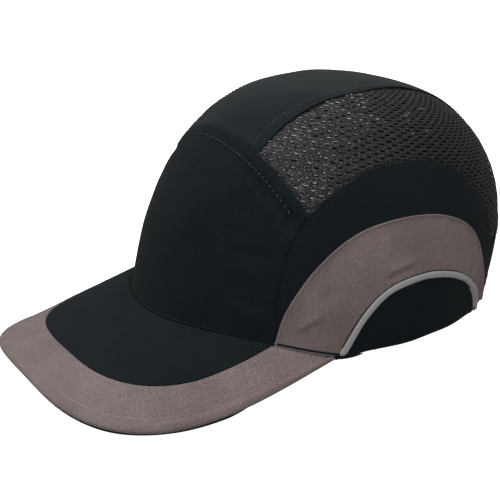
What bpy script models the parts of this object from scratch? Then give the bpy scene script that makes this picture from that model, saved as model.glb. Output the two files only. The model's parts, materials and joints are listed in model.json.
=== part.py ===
"""Bump cap: a sewn peaked cap over a vented plastic shell with foam pads, closed at the nape by a
hook and loop strap.

Lengths are in metres, with +Z up. The brim points along -Y and the wearer's left is +X. The cap is
modelled in its own frame, level with the head and with the rim at z = 0, and an empty then sets it
down on a flat surface at z = 0, where it rests on the brim's two corners and the nape.
"""

import math

import bmesh
import bpy
from mathutils import Vector

# The crown's outer form: half sizes of an oval dome, widest behind its middle.
CROWN_FRONT = 0.0976
CROWN_REAR = 0.1244
CROWN_HALF_WIDTH = 0.0921
CROWN_HEIGHT = 0.1207
CROWN_SWELL = 0.058  # how much wider the oval is at the nape than at the brow
CROWN_LEAN = 0.0247  # how far the top sits behind the middle of the rim
BROW_FULLNESS = 0.554  # lower values give a steeper wall
SIDE_FULLNESS = 0.738
NAPE_FULLNESS = 1.041
RISE_FULLNESS = 0.851
NAPE_TUCK = 0.077  # how far the nape's foot is drawn in, as a share of its reach
TUCK_HEIGHT = 0.063
CORE_Y = 0.012  # panels are laid on the form by rays from the line x = 0, y = CORE_Y
CORE_HEIGHT = 0.030

# The brim is one bent sheet: its height falls forwards and to both sides.
BRIM_HEIGHT = 0.0093
BRIM_SLOPE = 0.248
BRIM_BEND = 0.634
BRIM_BEND_FOURTH = 388.8
BRIM_HALF_WIDTH = 0.0854
BRIM_REAR_Y = -0.0338
BRIM_REACH = 0.1318
BRIM_SQUARENESS = 3.57
EDGE_HALF_WIDTH = 0.068  # where the brim's edge band meets its middle
EDGE_REAR_Y = -0.0635
EDGE_REACH = 0.080
EDGE_SQUARENESS = 3.1
BRIM_JOIN_ANGLE = 69.0
EDGE_JOIN_ANGLE = 49.5
BRIM_SETBACK = 0.0004
WALL_OVERLAP = 0.0030  # how far the crown's wall runs down behind the brim

# Thicknesses and the depths of the layers, each measured inwards from the crown's form.
FABRIC = 0.0012
TAPE = 0.0005
TAPE_DEPTH = 0.0021
SWEATBAND = 0.0014
SWEATBAND_DEPTH = 0.0018
SHELL = 0.0020
SHELL_DEPTH = 0.0034
PAD = 0.0050
PAD_DEPTH = 0.0068
LINER_REAR_EASE = 0.0095
BRIM_FABRIC = 0.0008
BRIM_BOARD = 0.0014
BRIM_BOARD_DEPTH = 0.0014
BRIM_UNDER_DEPTH = 0.0032
SEAM_GAP = 0.0004

# Seams, as points of a smooth line. Side seams are given as (y, z) seen from the side.
CROWN_STRIP_HALF_WIDTH = 0.0330
FRONT_SEAM_Y = -0.0530
FRONT_SEAM_BEND = 2.8
FRONT_SEAM_HALF_WIDTH = 0.0640
FRONT_SIDE_SEAM = ((-0.0627, 0.0041), (-0.0590, 0.0310), (-0.0520, 0.0515), (-0.0415, 0.0670))
INSERT_ARCH = (
    (-0.0627, 0.0041), (-0.0565, 0.0220), (-0.0413, 0.0433), (-0.0207, 0.0580), (0.0052, 0.0628),
    (0.0307, 0.0595), (0.0517, 0.0478), (0.0648, 0.0240), (0.0745, 0.0000),
)
PIPING_ARCH = (
    (-0.0322, 0.0012), (-0.0210, 0.0209), (-0.0015, 0.0318), (0.0220, 0.0328), (0.0422, 0.0278),
    (0.0537, 0.0194), (0.0600, 0.0090), (0.0620, 0.0000),
)
SIDE_ARCH = (
    (-0.0415, 0.0670), (-0.0256, 0.0784), (-0.0011, 0.0876), (0.0262, 0.0868), (0.0498, 0.0769),
    (0.0669, 0.0540), (0.0750, 0.0340),
)
SIDE_REAR_SEAM = ((0.0750, 0.0340), (0.0805, 0.0150), (0.0830, 0.0000))
PIPING_RADIUS = 0.0015
YOKE_SIDE_HEIGHT = 0.0340
YOKE_TOP_HEIGHT = 0.0560
YOKE_HALF_ANGLE = 55.0
ARCH_HALF_WIDTH = 0.0380
ARCH_HEIGHT = 0.0440
BINDING_RADIUS = 0.0010
BINDING_DEPTH = 0.0002

# The nape strap lies on a cone about the line that its halves slide round.
STRAP_CENTRE_Y = 0.0450
STRAP_LOW = 0.0030
STRAP_HIGH = 0.0250
STRAP_DEPTH = 0.0021
HOOK_PATCH_DEPTH = 0.0037
LOOP_PATCH_DEPTH = 0.0049
LOOP_STRAP_DEPTH = 0.0061
PATCH = 0.0008
STRAP_END_ANGLE = 44.0
TAB_HINGE_ANGLE = -2.0
TAB_GAP_ANGLE = 0.3
TAB_TIP_ANGLE = 18.0

SWEATBAND_HEIGHT = 0.0300
SWEATBAND_HALF_ANGLE = 136.0
SHELL_EDGE_FRONT = 0.0330
SHELL_EDGE_REAR = 0.0520
SHELL_SEGMENTS = 30
SHELL_RINGS = 16
SLOT_WIDTH = 0.0070
SLOT_LENGTH = 0.0240
SLOT_DEPTH = 0.0120

BLACK = (0.018, 0.021, 0.024, 1)
GREY = (0.175, 0.145, 0.150, 1)
SILVER = (0.330, 0.320, 0.330, 1)
MESH_BLACK = (0.030, 0.030, 0.034, 1)
SHELL_GREY = (0.060, 0.062, 0.066, 1)
FOAM_GREY = (0.090, 0.092, 0.096, 1)
TOWEL_BLACK = (0.025, 0.026, 0.028, 1)
BOARD_WHITE = (0.550, 0.550, 0.530, 1)
LABEL_WHITE = (0.700, 0.700, 0.690, 1)


class Form:
    """The crown's shape at a depth below its outside. Angle 0 is the brow and 180 the nape."""

    def __init__(self, depth=0.0, rear_ease=0.0, tuck=NAPE_TUCK):
        self.front = CROWN_FRONT - depth
        self.rear = CROWN_REAR - depth - rear_ease
        self.half_width = CROWN_HALF_WIDTH - depth
        self.height = CROWN_HEIGHT - depth
        self.tuck = tuck

    def rise(self, z):
        """Sine and cosine of the dome's slope angle at a height."""
        sine = min(max(z / self.height, 0.0), 1.0) ** (1 / RISE_FULLNESS)
        return sine, math.sqrt(max(1 - sine * sine, 0.0))

    def reach(self, angle, z):
        """The section's size at a height, as a share of its size at the rim."""
        cosine = self.rise(z)[1]
        front = max(math.cos(angle), 0.0) ** 2
        rear = max(-math.cos(angle), 0.0) ** 2
        share = (
            front * cosine**BROW_FULLNESS
            + rear * cosine**NAPE_FULLNESS
            + (1 - front - rear) * cosine**SIDE_FULLNESS
        )
        return share * (1 - rear * self.tuck * max(1 - z / TUCK_HEIGHT, 0.0) ** 2)

    def half_sizes(self, angle):
        """Half width and half length of the oval in this direction."""
        length = self.front if math.cos(angle) > 0 else self.rear
        return self.half_width * (1 - CROWN_SWELL * math.cos(angle)), length

    def point(self, angle, z):
        """The point of the form at an angle in radians and a height."""
        width, length = self.half_sizes(angle)
        reach = self.reach(angle, z)
        lean = CROWN_LEAN * self.rise(z)[0]
        return Vector((width * reach * math.sin(angle), lean - length * reach * math.cos(angle), z))

    def holds(self, place):
        """Whether a place is inside the form."""
        if place.z >= self.height:
            return False
        forward = CROWN_LEAN * self.rise(place.z)[0] - place.y
        length = self.front if forward > 0 else self.rear
        angle = math.atan2(place.x / self.half_width, forward / length)
        for _ in range(4):
            width = self.half_sizes(angle)[0]
            angle = math.atan2(place.x / width, forward / length)
        width = self.half_sizes(angle)[0]
        return math.hypot(place.x / width, forward / length) < self.reach(angle, place.z)

    def cast(self, start, direction):
        """Where a ray from inside meets the form."""
        near, far = 0.0, 0.3
        for _ in range(30):
            middle = (near + far) / 2
            if self.holds(start + direction * middle):
                near = middle
            else:
                far = middle
        return start + direction * near

    def lay(self, place):
        """Moves a rough place onto the form, along a ray from the core line."""
        core = Vector((0, CORE_Y, min(place.z, CORE_HEIGHT)))
        return self.cast(core, (place - core).normalized())

    def from_side(self, y, z, side=1):
        return self.cast(Vector((0, y, z)), Vector((side, 0, 0)))

    def from_top(self, x, y):
        return self.cast(Vector((x, y, CORE_HEIGHT)), Vector((0, 0, 1)))

    def from_rear(self, x, z):
        return self.cast(Vector((x, CORE_Y, z)), Vector((0, 1, 0)))


COVER = Form()
LINER = Form(SHELL_DEPTH, LINER_REAR_EASE, tuck=0.0)
PADDING = Form(PAD_DEPTH, LINER_REAR_EASE, tuck=0.0)


def mix(low, high, share):
    return low + (high - low) * share


def smooth_line(points):
    """A smooth line through a few points, as a function of a share from 0 to 1."""
    spots = [Vector(p) for p in points]
    ends = [2 * spots[0] - spots[1], *spots, 2 * spots[-1] - spots[-2]]

    def at(share):
        place = min(max(share, 0.0), 1.0) * (len(spots) - 1)
        index = min(int(place), len(spots) - 2)
        t = place - index
        a, b, c, d = ends[index : index + 4]
        return 0.5 * (
            2 * b + (c - a) * t + (2 * a - 5 * b + 4 * c - d) * t**2 + (3 * b - a - 3 * c + d) * t**3
        )

    return at


def side_line(points, side, offset=0.0):
    """A seam given from the side, laid on the cover. The offset moves it to its left as it runs."""
    line = smooth_line(points)

    def at(share):
        spot = line(share)
        along = line(min(share + 0.01, 1.0)) - line(max(share - 0.01, 0.0))
        left = Vector((-along.y, along.x)).normalized() * offset
        return COVER.from_side(spot.x + left.x, max(spot.y + left.y, 0.0), side)

    return at


def brim_height(x, y):
    """Height of the brim's top surface."""
    forward = -y - CROWN_FRONT
    return BRIM_HEIGHT - BRIM_SLOPE * forward - BRIM_BEND * x**2 - BRIM_BEND_FOURTH * x**4


def brim_spot(place, depth):
    """The point at a depth below the brim's top, under a place in plan."""
    fall = 2 * BRIM_BEND * place.x + 4 * BRIM_BEND_FOURTH * place.x**3
    upward = Vector((fall, -BRIM_SLOPE, 1)).normalized()
    return Vector((place.x, place.y, brim_height(place.x, place.y))) - upward * depth


def brim_seam(angle, form):
    """Where the brim's top surface meets the crown."""
    z = 0.0
    for _ in range(12):
        spot = form.point(angle, z)
        z = max(brim_height(spot.x, spot.y), 0.0)
    return form.point(angle, z)


def lower_edge(angle, form=None):
    """The cover's lower edge: just under the brim's seam at the front, and the flat rim behind."""
    form = form or COVER
    if math.cos(angle) < math.cos(math.radians(BRIM_JOIN_ANGLE)):
        return form.point(angle, 0.0)
    return form.point(angle, max(brim_seam(angle, form).z - WALL_OVERLAP, 0.0))


def rounded_outline(half_width, reach, rear_y, squareness):
    """Half of a squared oval in plan, from its left end to its right end."""

    def at(share):
        angle = math.pi * (share - 0.5)
        x = abs(math.sin(angle)) ** (2 / squareness) * math.copysign(half_width, angle)
        y = rear_y - reach * max(math.cos(angle), 0.0) ** (2 / squareness)
        return Vector((x, y, 0))

    return at


def front_seam(share, half_width=FRONT_SEAM_HALF_WIDTH):
    """The seam over the forehead, from -X to +X."""
    x = mix(-half_width, half_width, share)
    return COVER.from_top(x, FRONT_SEAM_Y + FRONT_SEAM_BEND * x**2)


def yoke_top(angle):
    """The nape yoke's upper edge, which rises to its middle."""
    turn = min(abs(math.degrees(angle) - 180) / YOKE_HALF_ANGLE, 1.0)
    height = mix(YOKE_SIDE_HEIGHT, YOKE_TOP_HEIGHT, (1 + math.cos(math.pi * turn)) / 2)
    return COVER.point(angle, height)


def yoke_angle_at(x):
    """The angle at which the yoke's upper edge is x from the middle, on the +X side."""
    low, high = math.radians(180 - YOKE_HALF_ANGLE), math.pi
    for _ in range(30):
        middle = (low + high) / 2
        if yoke_top(middle).x > x:
            low = middle
        else:
            high = middle
    return low


def crown_seam(share, side):
    """The seam beside the crown strip, from the front seam back to the yoke."""
    x = side * CROWN_STRIP_HALF_WIDTH
    first = front_seam(0.5 + x / (2 * FRONT_SEAM_HALF_WIDTH))
    last = yoke_top(yoke_angle_at(CROWN_STRIP_HALF_WIDTH))
    start = math.atan2(first.z - CORE_HEIGHT, CORE_Y - first.y)
    stop = math.atan2(last.z - CORE_HEIGHT, CORE_Y - last.y)
    angle = mix(start, stop, share)
    direction = Vector((0, -math.cos(angle), math.sin(angle)))
    return COVER.cast(Vector((x, CORE_Y, CORE_HEIGHT)), direction)


def blended(bottom, top, left=None, right=None):
    """A surface through four edges. Bottom and top run along, left and right run from bottom to top."""
    left = left or (lambda v: bottom(0).lerp(top(0), v))
    right = right or (lambda v: bottom(1).lerp(top(1), v))

    def at(u, v):
        corners = bottom(0).lerp(bottom(1), u).lerp(top(0).lerp(top(1), u), v)
        return bottom(u).lerp(top(u), v) + left(v).lerp(right(v), u) - corners

    return at


def material(name, colour, roughness, metallic=0.0):
    made = bpy.data.materials.new(name)
    made.use_nodes = True
    shader = made.node_tree.nodes["Principled BSDF"]
    shader.inputs["Base Color"].default_value = colour
    shader.inputs["Roughness"].default_value = roughness
    shader.inputs["Metallic"].default_value = metallic
    return made


def finish(obj, name, finish_material, parent):
    """Names a piece, gives it its material and hangs it on an empty without moving it."""
    obj.name = name
    obj.data.name = name
    obj.data.materials.append(finish_material)
    for owner in list(obj.users_collection):
        owner.objects.unlink(obj)
    bpy.data.collections["bump_cap"].objects.link(obj)
    obj.parent = parent
    stand = parent
    while stand.parent is not None:
        obj.location -= stand.location
        stand = stand.parent
    return obj


def sheet(name, surface, place, thickness, grid, finish_material, parent, outward=None):
    """A panel: a grid on the surface, put in place by a function and thickened away from its outside."""
    columns, rows = grid
    bpy.ops.mesh.primitive_grid_add(x_subdivisions=columns, y_subdivisions=rows, size=1)
    obj = bpy.context.object
    for vertex in obj.data.vertices:
        u, v = vertex.co.x + 0.5, vertex.co.y + 0.5
        margin_u = min(SEAM_GAP / (surface(1, v) - surface(0, v)).length, 0.3)
        margin_v = min(SEAM_GAP / (surface(u, 1) - surface(u, 0)).length, 0.3)
        vertex.co = place(surface(mix(margin_u, 1 - margin_u, u), mix(margin_v, 1 - margin_v, v)))
    outward = outward or Vector((0, CORE_Y, CORE_HEIGHT))
    facing = sum(f.normal.dot(f.center - outward) for f in obj.data.polygons)
    if facing < 0:
        obj.data.flip_normals()
    obj.data.shade_smooth()
    solidify = obj.modifiers.new("thickness", "SOLIDIFY")
    solidify.thickness = thickness
    solidify.offset = -1
    solidify.use_even_offset = True
    return finish(obj, name, finish_material, parent)


def panel(name, surface, thickness, grid, finish_material, parent, form=COVER):
    return sheet(name, surface, form.lay, thickness, grid, finish_material, parent)


def tube(name, line, count, radius, finish_material, parent):
    """A round cord along a line of the crown."""
    curve = bpy.data.curves.new(name, "CURVE")
    curve.dimensions = "3D"
    curve.bevel_depth = radius
    curve.bevel_resolution = 1
    curve.use_fill_caps = True
    spline = curve.splines.new("POLY")
    spline.points.add(count - 1)
    for index, point in enumerate(spline.points):
        point.co = (*line(index / (count - 1)), 1)
    obj = bpy.data.objects.new(name, curve)
    bpy.context.scene.collection.objects.link(obj)
    return finish(obj, name, finish_material, parent)


def build_front(fabric, cap):
    """The forehead panel, from the brim's seam up to the front seam."""
    turn = math.radians(EDGE_JOIN_ANGLE)
    surface = blended(
        bottom=lambda u: lower_edge(mix(-turn, turn, u)),
        top=front_seam,
        left=side_line(FRONT_SIDE_SEAM, -1),
        right=side_line(FRONT_SIDE_SEAM, 1),
    )
    panel("front_panel", surface, FABRIC, (14, 6), fabric, cap)


def build_crown_strip(fabric, tape, cap):
    """The strip over the top, and the tapes that cover its seams inside."""
    rear = yoke_angle_at(CROWN_STRIP_HALF_WIDTH)
    surface = blended(
        bottom=lambda u: front_seam(u, CROWN_STRIP_HALF_WIDTH),
        top=lambda u: yoke_top(mix(2 * math.pi - rear, rear, u)),
        left=lambda v: crown_seam(v, -1),
        right=lambda v: crown_seam(v, 1),
    )
    panel("crown_strip", surface, FABRIC, (6, 14), fabric, cap)
    under = Form(TAPE_DEPTH)
    half_tape = Vector((0.006, 0, 0))
    for label, side in (("left", 1), ("right", -1)):
        surface = blended(
            bottom=lambda u, s=side: crown_seam(mix(0.03, 0.9, u), s) - half_tape,
            top=lambda u, s=side: crown_seam(mix(0.03, 0.9, u), s) + half_tape,
        )
        panel(f"crown_seam_tape_{label}", surface, TAPE, (14, 1), tape, cap, under)


def build_side(label, side, looks, cap):
    """One side of the cover: mesh, side panel, insert, piping and lower panel."""
    black, grey, silver, mesh = looks
    rear = yoke_angle_at(CROWN_STRIP_HALF_WIDTH)
    turn_rear = math.radians(180 - YOKE_HALF_ANGLE)
    seam_share = 0.5 + side * CROWN_STRIP_HALF_WIDTH / (2 * FRONT_SEAM_HALF_WIDTH)
    seam_end = 0.5 + side * 0.5

    def yoke_edge(v):
        angle = mix(turn_rear, rear, v)
        return yoke_top(angle if side > 0 else 2 * math.pi - angle)

    side_top = side_line((*SIDE_ARCH, *SIDE_REAR_SEAM[1:]), side)
    arch_share = (len(SIDE_ARCH) - 1) / (len(SIDE_ARCH) + len(SIDE_REAR_SEAM) - 2)
    surface = blended(
        bottom=lambda u: side_top(u * arch_share),
        top=lambda u: crown_seam(u, side),
        left=lambda v: front_seam(mix(seam_end, seam_share, v)),
        right=yoke_edge,
    )
    panel(f"mesh_panel_{label}", surface, FABRIC, (14, 5), mesh, cap)

    surface = blended(
        bottom=side_line(INSERT_ARCH, side),
        top=side_top,
        left=side_line(FRONT_SIDE_SEAM, side),
    )
    panel(f"side_panel_{label}", surface, FABRIC, (20, 4), black, cap)

    clear = PIPING_RADIUS + SEAM_GAP / 2
    surface = blended(
        bottom=side_line(PIPING_ARCH, side, clear),
        top=side_line(INSERT_ARCH, side),
    )
    panel(f"side_insert_{label}", surface, FABRIC, (20, 3), grey, cap)

    tube(f"piping_{label}", side_line(PIPING_ARCH, side), 20, PIPING_RADIUS, silver, cap)

    inside_arch = side_line(PIPING_ARCH, side, -clear)
    start, stop = inside_arch(0.06), inside_arch(0.94)
    surface = blended(
        bottom=lambda u: COVER.from_side(mix(start.y + 0.001, stop.y - 0.0005, u), 0.0, side),
        top=lambda u: inside_arch(mix(0.06, 0.94, u)),
    )
    panel(f"lower_panel_{label}", surface, FABRIC, (12, 2), black, cap)


def build_yoke(fabric, binding, cap):
    """The nape yoke round the rear opening, and the binding on the opening's edge."""
    foot_share = 0.3

    def arch(share, grow=0.0):
        angle = math.pi * (share - 0.5)
        x = -(ARCH_HALF_WIDTH + grow) * math.sin(angle)
        return COVER.from_rear(x, (ARCH_HEIGHT + grow) * math.cos(angle))

    def bottom(u):
        if u < foot_share:
            low = COVER.from_side(*SIDE_REAR_SEAM[-1], 1)
            return low.lerp(arch(0, 0.002), u / foot_share)
        if u > 1 - foot_share:
            low = COVER.from_side(*SIDE_REAR_SEAM[-1], -1)
            return low.lerp(arch(1, 0.002), (1 - u) / foot_share)
        return arch((u - foot_share) / (1 - 2 * foot_share), 0.002)

    half = math.radians(YOKE_HALF_ANGLE)
    surface = blended(
        bottom=bottom,
        top=lambda u: yoke_top(mix(math.pi - half, math.pi + half, u)),
        left=lambda v: side_line(SIDE_REAR_SEAM, 1)(1 - v),
        right=lambda v: side_line(SIDE_REAR_SEAM, -1)(1 - v),
    )
    panel("nape_yoke", surface, FABRIC, (30, 2), fabric, cap)
    edge = Form(BINDING_DEPTH)
    line = lambda share: edge.lay(arch(mix(0.012, 0.988, share)))  # noqa: E731
    tube("nape_binding", line, 20, BINDING_RADIUS, binding, cap)


def build_brim(looks, cap):
    """The brim's stiff board with its black middle, its edge band and its underside."""
    black, grey, board = looks
    outline = rounded_outline(BRIM_HALF_WIDTH, BRIM_REACH, BRIM_REAR_Y, BRIM_SQUARENESS)
    edge_line = rounded_outline(EDGE_HALF_WIDTH, EDGE_REACH, EDGE_REAR_Y, EDGE_SQUARENESS)

    def join(limit, start=None, setback=BRIM_SETBACK):
        first = math.radians(-limit if start is None else start)
        last = math.radians(limit)
        return lambda share: brim_seam(mix(first, last, share), Form(-setback))

    def layer(name, surface, depth, thickness, grid, finish_material):
        below = Vector((0, -CROWN_FRONT, -1))

        def place(spot):
            return brim_spot(spot, depth)

        sheet(name, surface, place, thickness, grid, finish_material, cap, below)

    trim = 0.035
    middle_line = rounded_outline(
        EDGE_HALF_WIDTH - SEAM_GAP, EDGE_REACH - SEAM_GAP, EDGE_REAR_Y, EDGE_SQUARENESS
    )
    inner = lambda u: middle_line(mix(trim, 1 - trim, u))  # noqa: E731
    surface = blended(bottom=join(EDGE_JOIN_ANGLE - 2.5), top=inner)
    layer("brim_middle", surface, 0.0, BRIM_FABRIC, (26, 4), black)

    surface = blended(
        bottom=edge_line,
        top=outline,
        left=lambda v: join(-BRIM_JOIN_ANGLE, -EDGE_JOIN_ANGLE)(v),
        right=lambda v: join(BRIM_JOIN_ANGLE, EDGE_JOIN_ANGLE)(v),
    )
    layer("brim_edge_band", surface, 0.0, BRIM_FABRIC, (26, 2), grey)

    whole = lambda u: outline(mix(trim, 1 - trim, u))  # noqa: E731
    surface = blended(bottom=join(BRIM_JOIN_ANGLE - 4, setback=BRIM_SETBACK + 0.0014), top=whole)
    layer("brim_underside", surface, BRIM_UNDER_DEPTH, BRIM_FABRIC, (20, 6), black)

    inside = rounded_outline(
        BRIM_HALF_WIDTH - 0.002, BRIM_REACH - 0.002, BRIM_REAR_Y, BRIM_SQUARENESS
    )
    edge = lambda u: inside(mix(trim, 1 - trim, u))  # noqa: E731
    surface = blended(bottom=join(BRIM_JOIN_ANGLE - 5, setback=BRIM_SETBACK + 0.0010), top=edge)
    layer("brim_board", surface, BRIM_BOARD_DEPTH, BRIM_BOARD, (20, 6), board)


def build_sweatband(towel, label_cloth, cap):
    """The band inside the rim, and the care label sewn to it at the wearer's left."""
    form = Form(SWEATBAND_DEPTH)
    half = math.radians(SWEATBAND_HALF_ANGLE)
    lift = Vector((0, 0, 0.001))
    surface = blended(
        bottom=lambda u: lower_edge(mix(-half, half, u), form) + lift,
        top=lambda u: form.point(mix(-half, half, u), SWEATBAND_HEIGHT),
    )
    panel("sweatband", surface, SWEATBAND, (36, 3), towel, cap, form)
    inner = Form(SWEATBAND_DEPTH + SWEATBAND + SEAM_GAP)
    first, last = math.radians(112), math.radians(126)
    surface = blended(
        bottom=lambda u: inner.point(mix(first, last, u), 0.004),
        top=lambda u: inner.point(mix(first, last, u), 0.022),
    )
    panel("care_label", surface, 0.0004, (3, 2), label_cloth, cap, inner)


def strap_spot(angle, z, depth):
    """A point of the strap's cone. Angle 0 is the middle of the nape, and +X is positive."""
    radius = COVER.point(math.pi, z).y - STRAP_CENTRE_Y - depth
    turn = math.radians(angle)
    return Vector((radius * math.sin(turn), STRAP_CENTRE_Y + radius * math.cos(turn), z))


def strap_band(name, angles, heights, depth, thickness, finish_material, parent):
    """A piece of strap between two angles and two heights."""
    first, last = angles
    low, high = heights

    def surface(u, v):
        return strap_spot(mix(first, last, u), mix(low, high, v), depth)

    columns = max(2, round(abs(last - first) / 3))
    sheet(name, surface, Vector, thickness, (columns, 1), finish_material, parent)


def build_strap(looks, cap, strap_pivot, tab_hinge):
    """The two halves of the nape strap, the tab that peels, and their hook and loop patches."""
    black, hook, loop = looks
    heights = (STRAP_LOW, STRAP_HIGH)
    patch_heights = (STRAP_LOW + 0.002, STRAP_HIGH - 0.002)
    angles = (-TAB_TIP_ANGLE, STRAP_END_ANGLE)
    strap_band("loop_strap", angles, heights, LOOP_STRAP_DEPTH, FABRIC, black, cap)
    angles = (-TAB_TIP_ANGLE + 2, TAB_TIP_ANGLE + 6)
    strap_band("loop_patch", angles, patch_heights, LOOP_PATCH_DEPTH, PATCH, loop, cap)
    angles = (-STRAP_END_ANGLE, TAB_HINGE_ANGLE - TAB_GAP_ANGLE)
    strap_band("hook_strap", angles, heights, STRAP_DEPTH, FABRIC, black, strap_pivot)
    angles = (TAB_HINGE_ANGLE + TAB_GAP_ANGLE, TAB_TIP_ANGLE)
    strap_band("strap_tab", angles, heights, STRAP_DEPTH, FABRIC, black, tab_hinge)
    angles = (TAB_HINGE_ANGLE + 3, TAB_TIP_ANGLE - 1.5)
    strap_band("hook_patch", angles, patch_heights, HOOK_PATCH_DEPTH, PATCH, hook, tab_hinge)


def slot_cutter(bm, centre, along):
    """Adds one rounded slot, pointing out of the shell, with its long side in a direction."""
    outward = (centre - Vector((0, CORE_Y, CORE_HEIGHT))).normalized()
    long_side = (along - outward * along.dot(outward)).normalized()
    short_side = outward.cross(long_side)
    made = bmesh.ops.create_cube(bm, size=1)
    corners = made["verts"]
    upright = [
        e
        for e in {e for v in corners for e in v.link_edges}
        if abs((e.verts[0].co - e.verts[1].co).z) > 0.5
    ]
    for vertex in corners:
        vertex.co = Vector((vertex.co.x * SLOT_LENGTH, vertex.co.y * SLOT_WIDTH, vertex.co.z * SLOT_DEPTH))
    rounded = bmesh.ops.bevel(
        bm, geom=upright, offset=SLOT_WIDTH * 0.45, segments=2, affect="EDGES", profile=0.5
    )
    ring = {v for f in rounded["faces"] for v in f.verts} | {v for v in corners if v.is_valid}
    for vertex in ring:
        x, y, z = vertex.co
        vertex.co = centre + long_side * x + short_side * y + outward * z


def shell_slots():
    """The shell's vent slots: two rows under each mesh panel, one over the top and two at the nape."""
    bm = bmesh.new()
    backwards = Vector((0, 1, 0))
    for side in (-1, 1):
        for y, z in ((-0.030, 0.072), (0.003, 0.080), (0.036, 0.077), (0.066, 0.064)):
            slot_cutter(bm, LINER.from_side(y, z, side), backwards)
        for x, y in ((0.036, -0.022), (0.038, 0.010), (0.036, 0.042)):
            slot_cutter(bm, LINER.from_top(side * x, y), backwards)
        slot_cutter(bm, LINER.from_rear(side * 0.024, 0.078), Vector((0, 0, 1)))
    for y in (-0.020, 0.045):
        slot_cutter(bm, LINER.from_top(0, y), backwards)
    mesh = bpy.data.meshes.new("slot_cutters")
    bm.to_mesh(mesh)
    bm.free()
    cutter = bpy.data.objects.new("slot_cutters", mesh)
    bpy.data.collections["cutters"].objects.link(cutter)
    cutter.hide_render = True
    cutter.display_type = "WIRE"
    return cutter


def build_shell(plastic, cap, liner_guide):
    """The vented shell: the upper half of a sphere, drawn onto the liner's form."""
    bpy.ops.mesh.primitive_uv_sphere_add(segments=SHELL_SEGMENTS, ring_count=SHELL_RINGS, radius=1)
    obj = bpy.context.object
    mesh = obj.data
    bm = bmesh.new()
    bm.from_mesh(mesh)
    below = [v for v in bm.verts if v.co.z < -1e-4]
    bmesh.ops.delete(bm, geom=below, context="VERTS")
    for vertex in bm.verts:
        angle = math.atan2(vertex.co.x, -vertex.co.y)
        edge = mix(SHELL_EDGE_FRONT, SHELL_EDGE_REAR, ((1 - math.cos(angle)) / 2) ** 3)
        z = mix(edge, LINER.height, min(vertex.co.z, 1.0))
        vertex.co = LINER.point(angle, z)
    bm.to_mesh(mesh)
    bm.free()
    mesh.shade_smooth()
    solidify = obj.modifiers.new("thickness", "SOLIDIFY")
    solidify.thickness = SHELL
    solidify.offset = -1
    solidify.use_even_offset = True
    cut = obj.modifiers.new("slots", "BOOLEAN")
    cut.object = shell_slots()
    cut.object.parent = cap
    finish(obj, "vented_shell", plastic, liner_guide)


def build_pads(foam, liner_guide):
    """The foam pads stuck inside the shell."""

    def add(name, surface, grid):
        panel(name, surface, PAD, grid, foam, liner_guide, PADDING)

    def wall(first, last, low, high):
        start, stop = math.radians(first), math.radians(last)
        return blended(
            bottom=lambda u: PADDING.point(mix(start, stop, u), low),
            top=lambda u: PADDING.point(mix(start, stop, u), high),
        )

    add("brow_pad", wall(-50, 50, 0.036, 0.060), (14, 3))
    add("nape_pad", wall(148, 212, 0.055, 0.070), (10, 2))
    for label, side in (("left", 1), ("right", -1)):
        add(f"side_pad_{label}", wall(side * 62, side * 118, 0.038, 0.062), (10, 3))

    def over_top(x, start, stop):
        def at(share):
            angle = math.radians(mix(start, stop, share))
            direction = Vector((0, -math.cos(angle), math.sin(angle)))
            return PADDING.cast(Vector((x, CORE_Y, CORE_HEIGHT)), direction)

        return at

    add("crown_pad_middle", blended(over_top(-0.010, 52, 148), over_top(0.010, 52, 148)), (16, 2))
    for label, side in (("left", 1), ("right", -1)):
        lines = (over_top(side * 0.020, 62, 138), over_top(side * 0.029, 62, 138))
        add(f"crown_pad_{label}", blended(*lines), (12, 1))


def empty(name, location, parent=None):
    made = bpy.data.objects.new(name, None)
    bpy.data.collections["bump_cap"].objects.link(made)
    made.location = location
    made.parent = parent
    return made


def resting_pitch():
    """The pitch at which the brim's corners and the nape's foot stand on one level."""
    outline = rounded_outline(BRIM_HALF_WIDTH, BRIM_REACH, BRIM_REAR_Y, BRIM_SQUARENESS)
    brim = [brim_spot(outline(step / 100), BRIM_UNDER_DEPTH + BRIM_FABRIC) for step in range(101)]
    nape = COVER.from_rear(ARCH_HALF_WIDTH + 0.002, 0.0)
    return max(math.atan2(-spot.z, nape.y - spot.y) for spot in brim)


def settle(cap):
    """Sets the cap's lowest point at z = 0 and its middle over the origin."""
    bpy.context.view_layer.update()
    graph = bpy.context.evaluated_depsgraph_get()
    corners = []
    for obj in bpy.data.collections["bump_cap"].objects:
        if obj.type == "EMPTY":
            continue
        shape = obj.evaluated_get(graph)
        mesh = shape.to_mesh()
        corners += [shape.matrix_world @ vertex.co for vertex in mesh.vertices]
        shape.to_mesh_clear()
    lengthwise = [corner.y for corner in corners]
    cap.location.y -= (min(lengthwise) + max(lengthwise)) / 2
    cap.location.z -= min(corner.z for corner in corners)


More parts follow.
